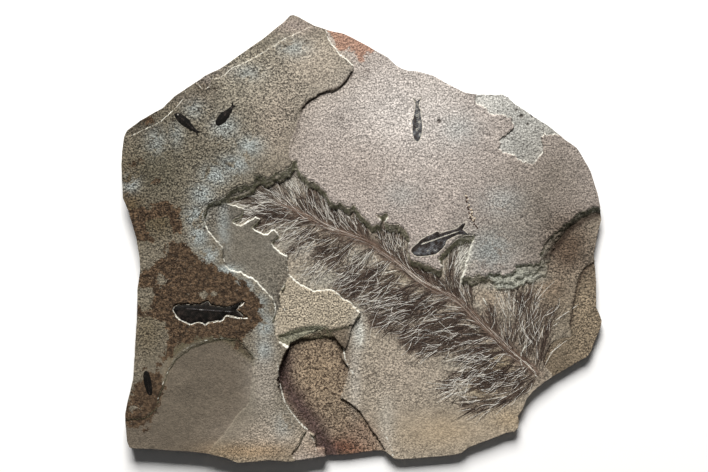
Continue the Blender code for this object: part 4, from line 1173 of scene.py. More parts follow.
# Where the surface has crumbled: place, reach across and up, and depth
CRUMBLED = (
    (245, 168, 60, 56, 1.6), (255, -62, 50, 18, 1.4), (305, -5, 20, 34, 1.2), (205, -70, 14, 14, 0.8),
    (-5, -150, 18, 40, 0.7), (-85, -320, 34, 20, 1.0), (-60, -45, 34, 26, 0.5),
)

# Small pits: place, radius and depth
PITS = (
    (120, 186, 4.2, 2.2), (-239, 238, 2.6, 1.4), (-126, 306, 2.8, 1.6), (-92, 315, 1.8, 1.2),
    (-306, 189, 1.6, 1.0), (-255, 15, 2.2, 1.4), (270, 195, 3.0, 1.6), (252, 195, 3.4, 1.8),
    (243, 205, 2.2, 1.4), (262, 182, 2.4, 1.2), (-180, 200, 1.4, 0.8), (-160, 222, 1.2, 0.8),
    (182, 22, 1.4, 0.8), (250, 90, 1.5, 0.7), (160, 130, 1.2, 0.7),
)

# Dark specks and holes: place, radius and strength
DARK_SPOTS = (
    (120, 187, 3.4, 0.95), (-239, 239, 2.4, 0.8), (-126, 307, 2.4, 0.8), (-92, 315, 2.0, 0.9),
    (-306, 189, 2.0, 0.9), (-255, 15, 2.6, 0.9), (270, 196, 3.0, 0.9), (252, 196, 3.4, 0.9),
    (244, 206, 2.4, 0.8), (262, 183, 2.2, 0.8), (-180, 200, 1.8, 0.7), (-160, 222, 1.6, 0.7),
    (-222, 196, 1.6, 0.7), (-70, -200, 3.0, 0.7), (-205, 205, 1.6, 0.6), (-280, 60, 1.4, 0.6),
)

# Dark hair cracks, flakes' edges and scratches, and painted shadows under the central ledge and along the
# right recess's upper wall: route, half width and strength
DARK_LINES_AND_PAINTED_SHADOWS = (
    # painted shadow under the central ledge, in two parts
    (((-20, 263), (-36, 243), (-48, 238), (-62, 235), (-76, 226), (-90, 219), (-99, 207)), 2.4, 0.9),
    (((-99, 206), (-104, 190), (-108, 172), (-118, 142)), 1.3, 0.55),
    (((367, -40), (352, -50), (342, -76), (335, -110), (331, -140)), 2.6, 0.75),
    (((0, 268), (6, 270), (9, 265), (6, 260)), 1.2, 0.8),
    (((-46, 192), (-40, 198), (-34, 194), (-36, 189)), 1.2, 0.6),
    (((4, -224), (9, -220), (16, -217)), 1.4, 0.8),
    (((111, -279), (120, -280), (129, -277)), 1.1, 0.6),
    (((-124, -57), (-133, -72), (-139, -88), (-136, -104)), 1.6, 0.5),
    (((-262, -45), (-256, -70), (-252, -88)), 1.6, 0.35),
    (((-206, -165), (-190, -176), (-180, -190)), 2.6, 0.5),
    # painted shadow under the right recess's upper wall
    (((379, 40), (354, 30), (330, 15), (315, -4), (303, -19), (291, -31)), 5.5, 0.8),
)

# Thin pale edges and scratches, partly painted highlight on edges and banks that face the light: route, half
# width and strength
PALE_EDGES_AND_HIGHLIGHTS = (
    (((-138, -196), (-137, -217), (-134, -240), (-127, -262), (-116, -278), (-100, -298), (-90, -307)),
     1.2, 0.62),
    (((-145, -100), (-141, -110), (-144, -126), (-150, -132)), 1.2, 0.7),
    (((-330, -258), (-322, -233), (-310, -204), (-298, -185), (-278, -172), (-253, -162), (-227, -159)),
     1.0, 0.45),
    (((-227, -159), (-202, -166), (-186, -178), (-178, -194)), 1.0, 0.4),
    # painted highlights on the right bank of the deep recess
    (((-5, -126), (-4, -140), (-2, -158), (-6, -170)), 2.2, 0.6),
    (((-33, -176), (-30, -196), (-22, -212), (-16, -216)), 1.6, 0.6),
    (((20, -296), (30, -308), (40, -326), (47, -348)), 1.6, 0.6),
    (((-131, -98), (-127, -112), (-125, -124)), 1.1, 0.6),
    (((-88, -310), (-80, -322), (-76, -344)), 1.2, 0.5),
    (((207, -128), (196, -106), (190, -92)), 1.3, 0.9),
    (((250, -118), (262, -96), (276, -76)), 1.0, 0.7),
    (((226, -84), (244, -100), (262, -112)), 1.3, 0.9),
    (((258, -214), (250, -196), (254, -178), (268, -164)), 1.4, 0.9),
    (((278, -222), (266, -206), (258, -196)), 1.2, 0.9),
)

# Walls that get less of the pale cut colour and its painted highlight: place, reach across and up, and how
# much less
DULL_WALLS = (
    (-116, 128, 14, 12, 1.0), (-215, 0, 30, 90, 0.40), (-50, -90, 60, 34, 0.35), (-134, -150, 16, 16, 0.85),
    (-255, 243, 20, 14, 0.5), (-85, -326, 40, 34, 1.0), (-230, -280, 70, 90, 1.0), (-330, -240, 60, 60, 0.9),
    (-110, -250, 40, 70, 0.72), (-136, -90, 22, 60, 0.45),
    (10, -280, 60, 90, 0.7), (-30, -200, 24, 50, 0.6), (250, -60, 60, 40, 0.6), (320, 10, 50, 60, 0.8),
    (-70, -170, 40, 30, 0.6), (330, -170, 60, 70, 0.85), (-110, 215, 24, 70, 0.85), (-100, -320, 40, 20, 0.4),
    (-136, -140, 12, 40, 0.4),
)

# Rock with a smooth fine surface, or a coarse one: place, reach across and up, and how smooth
SMOOTH_ROCK = (
    (-265, -250, 95, 95, 0.62), (-340, -320, 60, 40, 0.5), (-170, 15, 70, 60, 0.2), (-190, -20, 50, 60, 0.2),
    (330, -10, 50, 60, -0.3), (100, -310, 120, 40, 0.25), (-310, 110, 110, 120, -0.5),
    (-180, 230, 90, 80, -0.4), (-330, -100, 60, 90, -0.3), (-80, -115, 60, 36, -0.4),
    (150, -240, 40, 26, -0.3), (60, -220, 60, 60, -0.2),
    (355, -130, 26, 60, -0.4), (150, -270, 120, 60, 0.25), (70, -200, 60, 40, 0.2),
)

# Slow changes of the rock's colour: place, reach across and up, display colour and strength
BLOTCHES = (
    ((70, 200), (120, 90), (226, 219, 213), 0.78),
    ((0, 120), (70, 60), (174, 161, 151), 0.5),
    ((300, 60), (80, 120), (124, 115, 104), 0.8),
    ((225, -5), (70, 45), (136, 130, 121), 0.7),
    ((-180, 250), (90, 60), (166, 159, 144), 0.7),
    ((-135, 190), (42, 66), (164, 152, 138), 0.75),
    ((-70, 268), (52, 40), (180, 168, 153), 0.7),
    ((-84, 296), (40, 34), (186, 174, 158), 0.75),
    ((-330, 110), (56, 70), (92, 87, 72), 0.8),
    ((-375, 60), (20, 60), (90, 74, 50), 0.85),
    ((-350, 185), (46, 18), (82, 75, 64), 0.95),
    ((-290, 222), (50, 16), (112, 103, 92), 0.7),
    ((-240, 268), (40, 12), (130, 120, 110), 0.7),
    ((-257, 243), (16, 14), (98, 89, 77), 0.95),
    ((-300, 190), (40, 26), (106, 99, 84), 0.5),
    ((-240, 120), (50, 40), (114, 109, 96), 0.4),
    ((-110, 340), (40, 14), (168, 154, 146), 0.8),
    ((-345, -150), (26, 44), (112, 101, 80), 0.8),
    ((-350, 20), (40, 26), (88, 78, 58), 0.7),
    ((-322, 26), (24, 22), (86, 73, 50), 0.7),
    ((-160, -320), (60, 34), (184, 170, 154), 0.85),
    ((-160, -230), (26, 64), (170, 161, 149), 0.8),
    ((-300, -250), (60, 70), (106, 97, 84), 0.6),
    ((-180, -340), (70, 14), (178, 146, 106), 0.6),
    ((-85, -326), (28, 24), (178, 164, 146), 0.9),
    ((60, -220), (60, 60), (178, 165, 150), 0.6),
    ((150, -240), (26, 20), (202, 190, 174), 0.8),
    ((120, -310), (80, 30), (186, 166, 138), 0.7),
    ((215, -200), (20, 16), (204, 182, 142), 0.75),
    ((185, -240), (28, 20), (196, 176, 140), 0.6),
    ((320, -120), (50, 50), (116, 106, 90), 0.7),
    ((330, -14), (44, 52), (90, 72, 57), 0.85),
    ((300, -80), (30, 30), (124, 104, 84), 0.6),
    ((230, -290), (30, 20), (184, 162, 130), 0.6),
    ((-30, -190), (12, 30), (80, 66, 56), 0.6),
    ((-10, -318), (30, 30), (138, 112, 96), 0.6),
    ((-20, -340), (40, 12), (134, 88, 68), 0.6),
    ((36, -300), (14, 44), (196, 189, 176), 0.7),
    ((-15, -225), (10, 50), (190, 183, 172), 0.7),
    ((-8, -150), (10, 26), (200, 201, 194), 0.85),
    ((-90, -60), (40, 16), (160, 150, 134), 0.4),
    ((-50, -68), (24, 10), (176, 172, 160), 0.5),
    ((60, -58), (20, 10), (176, 168, 142), 0.6),
    ((-190, 44), (40, 16), (104, 100, 92), 0.5),
    ((355, -130), (20, 50), (152, 136, 114), 0.8),
    ((0, -324), (26, 18), (178, 154, 134), 0.75),
    ((-44, -334), (34, 14), (126, 82, 62), 0.85),
    ((-70, -210), (34, 44), (170, 148, 122), 0.6),
    ((160, -30), (18, 40), (178, 176, 164), 0.6),
    ((-120, -12), (30, 10), (158, 155, 146), 0.6),
    ((-90, -25), (30, 8), (160, 148, 138), 0.4),
    ((178, -147), (16, 6), (190, 186, 162), 0.7),
    ((215, -76), (26, 6), (170, 172, 162), 0.7),
    ((268, -62), (26, 8), (176, 176, 164), 0.7),
    ((200, -100), (26, 20), (150, 132, 112), 0.5),
)

# Long bands of another colour, one of them a painted shadow: route, half width, the plane they stay under,
# display colour and strength
BANDS = (
    (((-132, -176), (-134, -204), (-128, -230), (-114, -254), (-96, -278), (-78, -302), (-64, -326),
      (-54, -348)), 19, 15.0, (92, 73, 70), 0.97),
    # painted shadow of the deep recess's right wall, darkening its floor along the wall
    (((-30, -176), (-22, -196), (-10, -222), (2, -246), (16, -268), (30, -292), (46, -320)), 12,
     15.0, (88, 70, 54), 0.8),
    (((-310, -190), (-292, -170), (-270, -160), (-240, -158), (-216, -160), (-196, -176), (-180, -192)), 7,
     50.0, (92, 84, 62), 0.8),
    (((-330, -262), (-322, -236), (-316, -212), (-306, -190)), 5, 50.0, (128, 116, 96), 0.6),
    (((-126, -160), (-100, -150), (-70, -144)), 7, 50.0, (150, 150, 132), 0.6),
    (((283, -219), (241, -187), (209, -156), (168, -116), (115, -82), (58, -42), (4, -4), (-50, 15),
      (-104, 42)), 12, 18.4, (120, 101, 88), 0.5),
)

# Paler holes in the big stain: place, then reach across and up
STAIN_HOLES = (
    (-348, -95, 12, 18), (-325, -68, 8, 9), (-256, -90, 8, 6), (-240, -88, 5, 5),
)

# Where the plant's strands are sparse and pale: place, reach across and up, and strength
PALE_TUFTS = (
    (-112, 96, 26, 34, 1.0), (-150, 66, 60, 24, 0.75), (-190, 40, 30, 26, 0.9), (-135, 10, 34, 20, 0.8),
    (-60, 52, 26, 20, 0.8), (-30, 36, 30, 16, 0.6), (-8, -30, 26, 16, 0.9), (24, -46, 16, 10, 0.6),
    (-70, -66, 40, 24, 0.9), (-96, -22, 30, 14, 0.6), (10, -108, 40, 18, 0.8), (40, 6, 16, 22, 0.8),
    (60, -14, 16, 16, 0.7), (160, -30, 16, 40, 1.0), (116, -96, 22, 10, 0.7), (134, -74, 20, 8, 0.6),
    (66, -130, 26, 14, 0.6), (150, -200, 26, 12, 0.6), (230, -110, 16, 24, 0.4), (180, -108, 14, 10, 0.7),
    (262, -150, 10, 20, 0.4), (150, -240, 24, 14, 0.7), (214, -198, 12, 8, 0.5),
)

# Bare spots of the plant's bed: place, then reach across and up
BARE_BED = (
    (-102, -38, 24, 17), (-62, -62, 17, 12), (154, -238, 17, 10), (62, -58, 10, 5), (-125, -10, 16, 7),
    (146, -206, 17, 8), (180, -250, 15, 7), (216, -206, 10, 6), (222, -116, 12, 9),
)

# Separate small stains: place, reach and strength
STAIN_SPOTS = (
    (-228, 244, 10, 0.5), (-236, 150, 12, 0.42), (-330, 90, 16, 0.42), (-372, 0, 16, 0.75),
    (-300, 110, 10, 0.4), (-205, 190, 9, 0.35), (-366, 120, 14, 0.45), (-262, 20, 7, 0.5),
    (-345, 190, 14, 0.6), (-285, 222, 10, 0.5), (-330, 48, 16, 0.7), (-305, 44, 12, 0.7),
    (-206, -172, 9, 0.5), (-350, -300, 16, 0.5),
)

# Thin blue-grey film: place, reach across and up, and strength
BLUE_FILM = (
    (-112, 304, 26, 14, 0.7), (-186, 265, 24, 12, 0.6), (-271, 206, 16, 14, 0.6), (-222, 178, 22, 18, 0.8),
    (-183, 148, 22, 16, 0.9), (-207, 118, 24, 16, 0.95), (-237, 101, 22, 16, 0.95), (-258, 70, 18, 18, 0.95),
    (-270, 36, 16, 18, 0.95), (-264, 4, 14, 20, 1.0), (-247, -26, 16, 12, 1.0), (-220, -50, 20, 8, 1.0),
    (-192, -76, 16, 10, 1.0), (-168, -106, 14, 16, 0.9), (-158, -140, 14, 20, 0.9), (-160, -178, 14, 18, 0.8),
    (-332, 155, 16, 20, 0.6), (-300, 166, 12, 20, 0.5), (-373, 87, 14, 14, 0.8), (150, 175, 30, 24, 0.5),
    (220, 60, 34, 24, 0.5), (200, -20, 34, 30, 0.7), (60, 70, 30, 22, 0.35),
    (-130, -300, 16, 20, 0.5), (-225, 20, 10, 40, 0.6),
)


@dataclass(frozen=True)
class FishPlan:
    """One fish on the picture face.

    It has its snout, its tail's fork, half its depth, how far its crown rises, its tone
    and how much paler its belly and backbone are. The spine is how far, in millimetres,
    the backbone lies from the axis behind the head and at the tail.
    """

    snout: tuple[float, float]
    fork: tuple[float, float]
    half_depth: float
    crown: float
    tone: float
    belly: float = 0.0
    line: float = 0.3
    spine: tuple[float, float] = (0.6, 0.0)
    own_outline: Points = ()
    has_tail: bool = True
    in_trench: bool = False
    eye: float = 0.0
    rim: float = 0.0

    def length(self) -> float:
        """Return the length from snout to fork."""
        return math.dist(self.snout, self.fork)

    def directions(self) -> tuple[np.ndarray, np.ndarray]:
        """Return the unit directions along the body and across it, towards the back."""
        along = (np.array(self.fork, float) - np.array(self.snout, float)) / self.length()
        return along, np.array([-along[1], along[0]])

    def outline(self) -> Points:
        """Return the outline on the picture face."""
        if self.own_outline:
            return self.own_outline
        along, across = self.directions()
        pattern = WHOLE_FISH if self.has_tail else TAILLESS_FISH
        start = np.array(self.snout, float)
        return tuple(
            tuple(start + along * (share * self.length()) + across * (side * self.half_depth))
            for share, side in pattern
        )


FISH = {
    "fish_left": FishPlan((-305, -114), (-204, -114), 13.0, 1.9, 0.0, 0.1, 0.62, (2.0, -3.0),
                          LEFT_FISH, in_trench=True, rim=0.8),
    "fish_by_frond": FishPlan((75, -20), (157.5, 14), 14.2, 1.6, 0.33, 0.14, 0.95, (3.7, 0.2),
                              BY_FROND_FISH, rim=0.95),
    "fish_top": FishPlan((85, 155), (85, 220), 7.6, 0.9, 0.60, 0.0, 0.1, rim=1.1),
    "fish_small_upper_a": FishPlan((-302, 200), (-265, 168.5), 6.9, 0.5, -0.05, eye=1.2),
    "fish_small_upper_b": FishPlan((-236, 181), (-208, 213), 7.1, 0.5, -0.05),
    "fish_small_lower": FishPlan((-349, -211), (-342, -251), 6.2, 0.5, -0.05, has_tail=False),
}


@dataclass
class Slab:
    """The stone itself: its stepped face, its layered sides and its flat back."""

    face: Face
    rim_keep: float = 0.35
    rings: int = 7
    most_triangles: int = 188000
    side_depth: float = 2.2

    def build(self) -> bpy.types.Object:
        """Model the slab as one closed mesh and dress it."""
        item = self.face_sheet()
        self.fit_rim(item)
        self.close_underneath(item)
        triangles = sum(len(polygon.vertices) - 2 for polygon in item.data.polygons)
        ratio = min(1.0, self.most_triangles / triangles)
        apply_modifier(item, "DECIMATE", ratio=ratio, use_collapse_triangulate=True)
        self.stay_in_box(item)
        self.carry_values(item)
        item.data.materials.clear()
        item.data.materials.append(Limestone().material())
        take_hold(item)
        bpy.ops.object.shade_smooth_by_angle(angle=math.radians(42))
        return settle(item, "limestone", "stone_slab")

    def face_sheet(self) -> bpy.types.Object:
        """Add a grid, give it the face's heights and cut away what lies outside the rim."""
        face = self.face
        columns = len(face.across)
        rows = len(face.up)
        deselect_all()
        bpy.ops.mesh.primitive_grid_add(x_subdivisions=columns - 1, y_subdivisions=rows - 1, size=1.0)
        item = bpy.context.object
        item.name = item.data.name = "slab_of_limestone"
        height = np.transpose(face.height)
        places = np.column_stack([
            np.tile(face.across, rows), np.repeat(face.up, columns), height.reshape(-1),
        ]) * MM
        put_points(item, places)
        cut_away(item, np.transpose(face.edge).reshape(-1) < self.rim_keep)
        return item

    @staticmethod
    def rim_line() -> np.ndarray:
        """Return the slab's outline in short steps, chipped inwards unevenly."""
        corners = np.array(SLAB_OUTLINE, float)
        closed = np.vstack([corners, corners[:1]])
        count = int(line_length(closed) / 1.2)
        places, along = along_route(closed, np.linspace(0, line_length(closed), count, endpoint=False))
        inwards = -left_of(along)
        x, y = places[:, 0], places[:, 1]
        bite = 0.45 + 0.45 * fractal_noise(x, y, 9.0, 61, 3) + 0.25 * lattice_noise(x, y, 30.0, 62)
        return places + inwards * np.clip(bite, 0.0, 1.1)[:, None]

    def fit_rim(self, item: bpy.types.Object) -> None:
        """Move the sheet's border onto the chipped outline."""
        shape = bmesh.new()
        shape.from_mesh(item.data)
        for spare in (lambda vertex: not vertex.link_faces, is_pinched, lambda vertex: not vertex.link_faces):
            bmesh.ops.delete(shape, geom=[vertex for vertex in shape.verts if spare(vertex)], context="VERTS")
        draw_border(shape, self.rim_line(), 0.1)
        shape.to_mesh(item.data)
        shape.free()

    def close_underneath(self, item: bpy.types.Object) -> None:
        """Draw the rim down to the floor in rings, wear the layers back and close the back."""
        take_hold(item)
        bpy.ops.object.mode_set(mode="EDIT")
        select_border()
        bpy.ops.object.mode_set(mode="OBJECT")
        first_side = len(item.data.vertices)
        rim = np.zeros(first_side, bool)
        item.data.vertices.foreach_get("select", rim)
        places = coordinates(item)
        top = {tuple(np.round(place[:2], 6)): place[2] for place in places[rim]}
        bpy.ops.object.mode_set(mode="EDIT")
        for _ in range(self.rings):
            bpy.ops.mesh.extrude_edges_move(TRANSFORM_OT_translate={"value": (0, 0, -FIRST_DROP)})
        bpy.ops.mesh.edge_face_add()
        bpy.ops.object.mode_set(mode="OBJECT")
        places = coordinates(item)
        side = places[first_side:]
        starts = np.array([top[tuple(np.round(place[:2], 6))] for place in side])
        ring = np.round((starts - side[:, 2]) / FIRST_DROP)
        side[:, 2] = starts * (1 - ring / self.rings)
        side[:, :2] = self.worn(side, ring)
        places[first_side:] = side
        put_points(item, places)

    def worn(self, side: np.ndarray, ring: np.ndarray) -> np.ndarray:
        """Wear the side's layers back from the rim.

        Args:
            side: The points of the side, in metres.
            ring: Which ring each point is on, from the top.

        Returns:
            The points' new places across and up.
        """
        line = self.rim_line()
        x = side[:, 0] / MM - SHIFT_X
        y = side[:, 1] / MM - SHIFT_Y
        nearest = np.empty(len(side), int)
        for start in range(0, len(side), 2000):
            part = slice(start, start + 2000)
            gaps = (line[None, :, 0] - x[part, None]) ** 2 + (line[None, :, 1] - y[part, None]) ** 2
            nearest[part] = gaps.argmin(axis=1)
        along = np.roll(line, -6, axis=0) - np.roll(line, 6, axis=0)
        along /= np.linalg.norm(along, axis=1, keepdims=True)
        inwards = -left_of(along)[nearest]
        height = side[:, 2] / MM
        layer = 0.5 + 0.5 * lattice_noise(height * 9.0, x * 0.04 + y * 0.04, 16.0, 71)
        chips = 0.5 + 0.5 * fractal_noise(x + height * 3.0, y - height * 2.0, 15.0, 73, 3)
        foot = smooth_step(7.0, 0.0, height) * 1.6
        depth = (self.side_depth * layer * chips * 1.5 + foot) * np.minimum(ring / 2.0, 1.0)
        return side[:, :2] + inwards * (depth * MM)[:, None]

    @staticmethod
    def stay_in_box(item: bpy.types.Object) -> None:
        """Keep every point inside the solid's own box."""
        low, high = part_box("stone_slab")
        put_points(item, np.clip(coordinates(item), np.array(low), np.array(high)))

    def carry_values(self, item: bpy.types.Object) -> None:
        """Give each point of the mesh its colour and its stains."""
        places = coordinates(item)
        x = places[:, 0] / MM - SHIFT_X
        y = places[:, 1] / MM - SHIFT_Y
        for name, grid in self.face.masks.items():
            carry(item.data, name, self.face.sample(grid, x, y))
        colour = self.face.sample(self.face.ground, x, y)
        layer = item.data.attributes.new("ground", "FLOAT_COLOR", "POINT")
        with_alpha = np.column_stack([colour, np.ones(len(colour))])
        layer.data.foreach_set("color", with_alpha.astype(np.float32).ravel())


@dataclass
class Plant:
    """The feathery plant: its stem and its side sprays, each of many fine strands."""

    face: Face
    mould: StrandMould
    dice: np.random.Generator = field(default_factory=lambda: np.random.default_rng(2024))
    crowd: float = 1.3
    web: float = 0.5
    stem_fibres: int = 210
    wisp_gap: float = 0.9
    gathered: dict[str, list[tuple]] = field(default_factory=dict)

    def clear_part(self, route: np.ndarray) -> np.ndarray | None:
        """Keep a route up to where it meets a wall.

        Args:
            route: Places on the picture face from root to tip.

        Returns:
            The free part in as many steps, or nothing where it is shorter than 5 mm.
        """
        height = self.face.sample(self.face.height, route[:, 0], route[:, 1])
        edge = self.face.sample(self.face.edge, route[:, 0], route[:, 1])
        blocked = (height > WALL_FOOT + 1.2) | (height < FROND_BED - 2.6) | (edge < 2.0)
        free = len(route) if not blocked.any() else int(np.argmax(blocked))
        if free < 3 or line_length(route[:free]) < 5.0:
            return None
        if free == len(route):
            return route
        kept = route[:free]
        return along_route(kept, np.linspace(0, line_length(kept), len(route)))[0]

    def beside(self, line: np.ndarray, start: float, length: float, side: float, lean: float,
               sway: float = 1.1) -> np.ndarray | None:
        """Follow a spray's own curve at one side of it.

        Args:
            line: The spray's middle line.
            start: How far along it the strand starts.
            length: The strand's length.
            side: How far beside the line the strand starts.
            lean: How it leaves the line's direction, in radians.
            sway: How far it bows to a side, in millimetres.

        Returns:
            The strand's route, or nothing where there is no room.
        """
        total = line_length(line)
        ahead = np.linspace(start, start + length, STRAND_STEPS)
        inside = np.minimum(ahead, total)
        places, along = along_route(line, inside)
        across = left_of(along)
        bow = self.dice.normal(0, sway) * np.sin(np.linspace(0, math.pi, STRAND_STEPS))
        reach = side + (ahead - start) * math.tan(lean) + bow
        route = places + along * (ahead - inside)[:, None] + across * reach[:, None]
        middle = route[STRAND_MIDDLE]
        for oval in BARE_BED:
            if oval_reach(middle[0], middle[1], oval) < 1 and self.dice.random() < 0.9:
                return None
        return self.clear_part(route)

    def plan_branch(self, number: int) -> None:
        """Plan the strands of one side spray: long, thin and nearly parallel to it."""
        route, half_width = BRANCHES[number]
        line = smooth_route(route)
        total = line_length(line)
        plans = self.gathered.setdefault("frond_branch_%02d" % (number + 1), [])
        dice = self.dice
        thin = 0.8 if line[-1][0] < -75 or line[-1][0] > 235 else 1.0
        count = int(total * self.crowd * thin)
        for index in range(count):
            share = (index + dice.uniform(0, 1)) / count * 0.96
            spread = half_width * (0.42 + 0.50 * math.sin(math.pi * (0.05 + 0.72 * share)))
            place = dice.uniform(-1, 1)
            lean = math.radians(place * 15 + dice.normal(0, 5.0))
            length = dice.uniform(22, 60) * (1 - 0.4 * share)
            strand = self.beside(line, share * total, length, place * spread, lean, 3.0)
            if strand is not None:
                whiteness = float(paleness(*strand[STRAND_MIDDLE]))
                tone = self.tone(share, abs(place), whiteness)
                pale = tone[0] > 0.6
                width = dice.uniform(1.4, 2.1) if pale else dice.uniform(1.3, 2.7) * (1 - 0.35 * whiteness)
                rise = dice.uniform(0.30, 0.46) if pale else dice.uniform(0.16, 0.44)
                plans.append((strand, width, rise, tone, 0.75))
        for _ in range(int(total * self.web)):
            share = dice.uniform(0.05, 0.9)
            spread = half_width * (0.5 + 0.9 * math.sin(math.pi * (0.1 + 0.65 * share)))
            place = dice.uniform(-1.15, 1.15)
            lean = math.radians(place * 20 + dice.normal(0, 15))
            strand = self.beside(line, share * total, dice.uniform(14, 40), place * spread, lean, 3.6)
            if strand is not None:
                likely = 0.16 + 0.10 * share + 0.34 * float(paleness(*strand[STRAND_MIDDLE]))
                tone = dice.uniform(0.9, 1.15) if dice.random() < likely else dice.uniform(0.0, 0.2)
                plans.append((strand, dice.uniform(1.2, 1.9), dice.uniform(0.34, 0.5), (tone, tone), 0.5))

    def tone(self, share: float, aside: float, whiteness: float = 0.0) -> tuple[float, float]:
        """Return a strand's tone at root and tip: dark, or one of the near-white ones.

        Args:
            share: How far along the spray the strand starts.
            aside: How far it starts from the spray's middle, as a share of its spread.
            whiteness: How pale the plant is there.
        """
        dice = self.dice
        border = min(max((aside - 0.68) / 0.22, 0.0), 1.0) * min(max(share * 4.0 - 0.5, 0.0), 1.0)
        if dice.random() < 0.04 + 0.04 * share + 0.17 * border + 0.18 * whiteness:
            root = dice.uniform(0.85, 1.2)
            return (root, root + 0.1)
        root = dice.uniform(-0.1, 0.34) + 0.06 * share
        return (root, root + dice.uniform(0.0, 0.2))

    def plan_stem(self) -> None:
        """Plan the long fibres of the stem and the short wisps that leave it between the forks."""
        line = smooth_route(STEM_ROUTE, 2)
        total = line_length(line)
        plans = self.gathered.setdefault("frond_stem", [])
        dice = self.dice
        for _ in range(self.stem_fibres):
            start = dice.uniform(0, total * 0.93)
            length = min(dice.uniform(35, 95), total - start)
            share = (start + length / 2) / total
            half_width = 5.0 * (1 - 0.72 * share)
            places, along = along_route(line, np.linspace(start, start + length, 10))
            across = left_of(along)
            drift = dice.uniform(-1, 1) * half_width + dice.normal(0, 1.6) * np.linspace(-1, 1, 10)
            places = places + across * drift[:, None]
            pale = dice.random() < 0.26
            tone = (1.0, 1.05) if pale else (dice.uniform(-0.05, 0.45), dice.uniform(0.0, 0.5))
            plans.append((places, dice.uniform(0.9, 1.6), dice.uniform(0.4, 0.9), tone, 0.5))
        for index in range(int(total / self.wisp_gap)):
            start = self.wisp_gap * index
            side = 1 if index % 2 else -1
            lean = side * math.radians(dice.uniform(10, 34))
            wisp = self.beside(line, start, dice.uniform(12, 34), side * 1.5, lean)
            if wisp is not None:
                tone = self.tone(0.2, dice.uniform(0, 1))
                plans.append((wisp, dice.uniform(0.8, 1.4), dice.uniform(0.2, 0.45), tone, 0.8))

    def plan(self) -> None:
        """Plan every strand, then score the rock beneath and beside them."""
        self.plan_stem()
        for number in range(len(BRANCHES)):
            self.plan_branch(number)
        routes = []
        depths = []
        widths = []
        marks = []
        for plans in self.gathered.values():
            for number, (route, width, _, tone, _) in enumerate(plans):
                if tone[0] < 0.5:
                    marks.append(along_route(route, np.linspace(0, line_length(route), 12))[0])
                if number % 2:
                    continue
                routes.append(route + self.dice.normal(0, 1.4, 2))
                depths.append(self.dice.choice([-0.35, -0.2, 0.25, 0.4]))
                widths.append(width * self.dice.uniform(0.9, 1.4))
        carbon = np.zeros_like(self.face.height)
        near = np.vstack(marks)
        row, column = self.face.cell(near[:, 0], near[:, 1])
        np.add.at(carbon, (np.round(row).astype(int), np.round(column).astype(int)), 1.0)
        self.face.score(routes, np.array(depths), np.array(widths))
        density = blurred(carbon, np.ones_like(carbon), 2.2)
        bed = smooth_step(WALL_FOOT + 0.4, WALL_FOOT - 0.8, self.face.level)
        pale = paleness(self.face.x, self.face.y)
        self.face.masks["carbon"] = np.clip(density * 0.68 - 0.12, 0.0, 0.8) * bed * (1 - 0.6 * pale)

    def build(self) -> list[bpy.types.Object]:
        """Lay the planned strands on the finished face and dress them."""
        leaf = CarbonFilm(
            "plant_carbon", display(40, 30, 25), display(92, 75, 65),
            display(150, 138, 126), display(250, 247, 238),
        ).material()
        bark = CarbonFilm(
            "stem_carbon", display(98, 76, 63), display(180, 157, 140),
            display(206, 190, 175), display(248, 242, 232),
        ).material()
        pieces = []
        for node, plans in self.gathered.items():
            strands = Strands(self.mould)
            for route, width, height, tone, taper in plans:
                floor = self.face.sample(self.face.height, route[:, 0], route[:, 1])
                strands.lay(route, floor, width, height, tone, taper)
            stem = node == "frond_stem"
            piece = strands.build(node.replace("frond", "plant"), bark if stem else leaf)
            pieces.append(settle(piece, "stem" if stem else "frond", node))
        return pieces


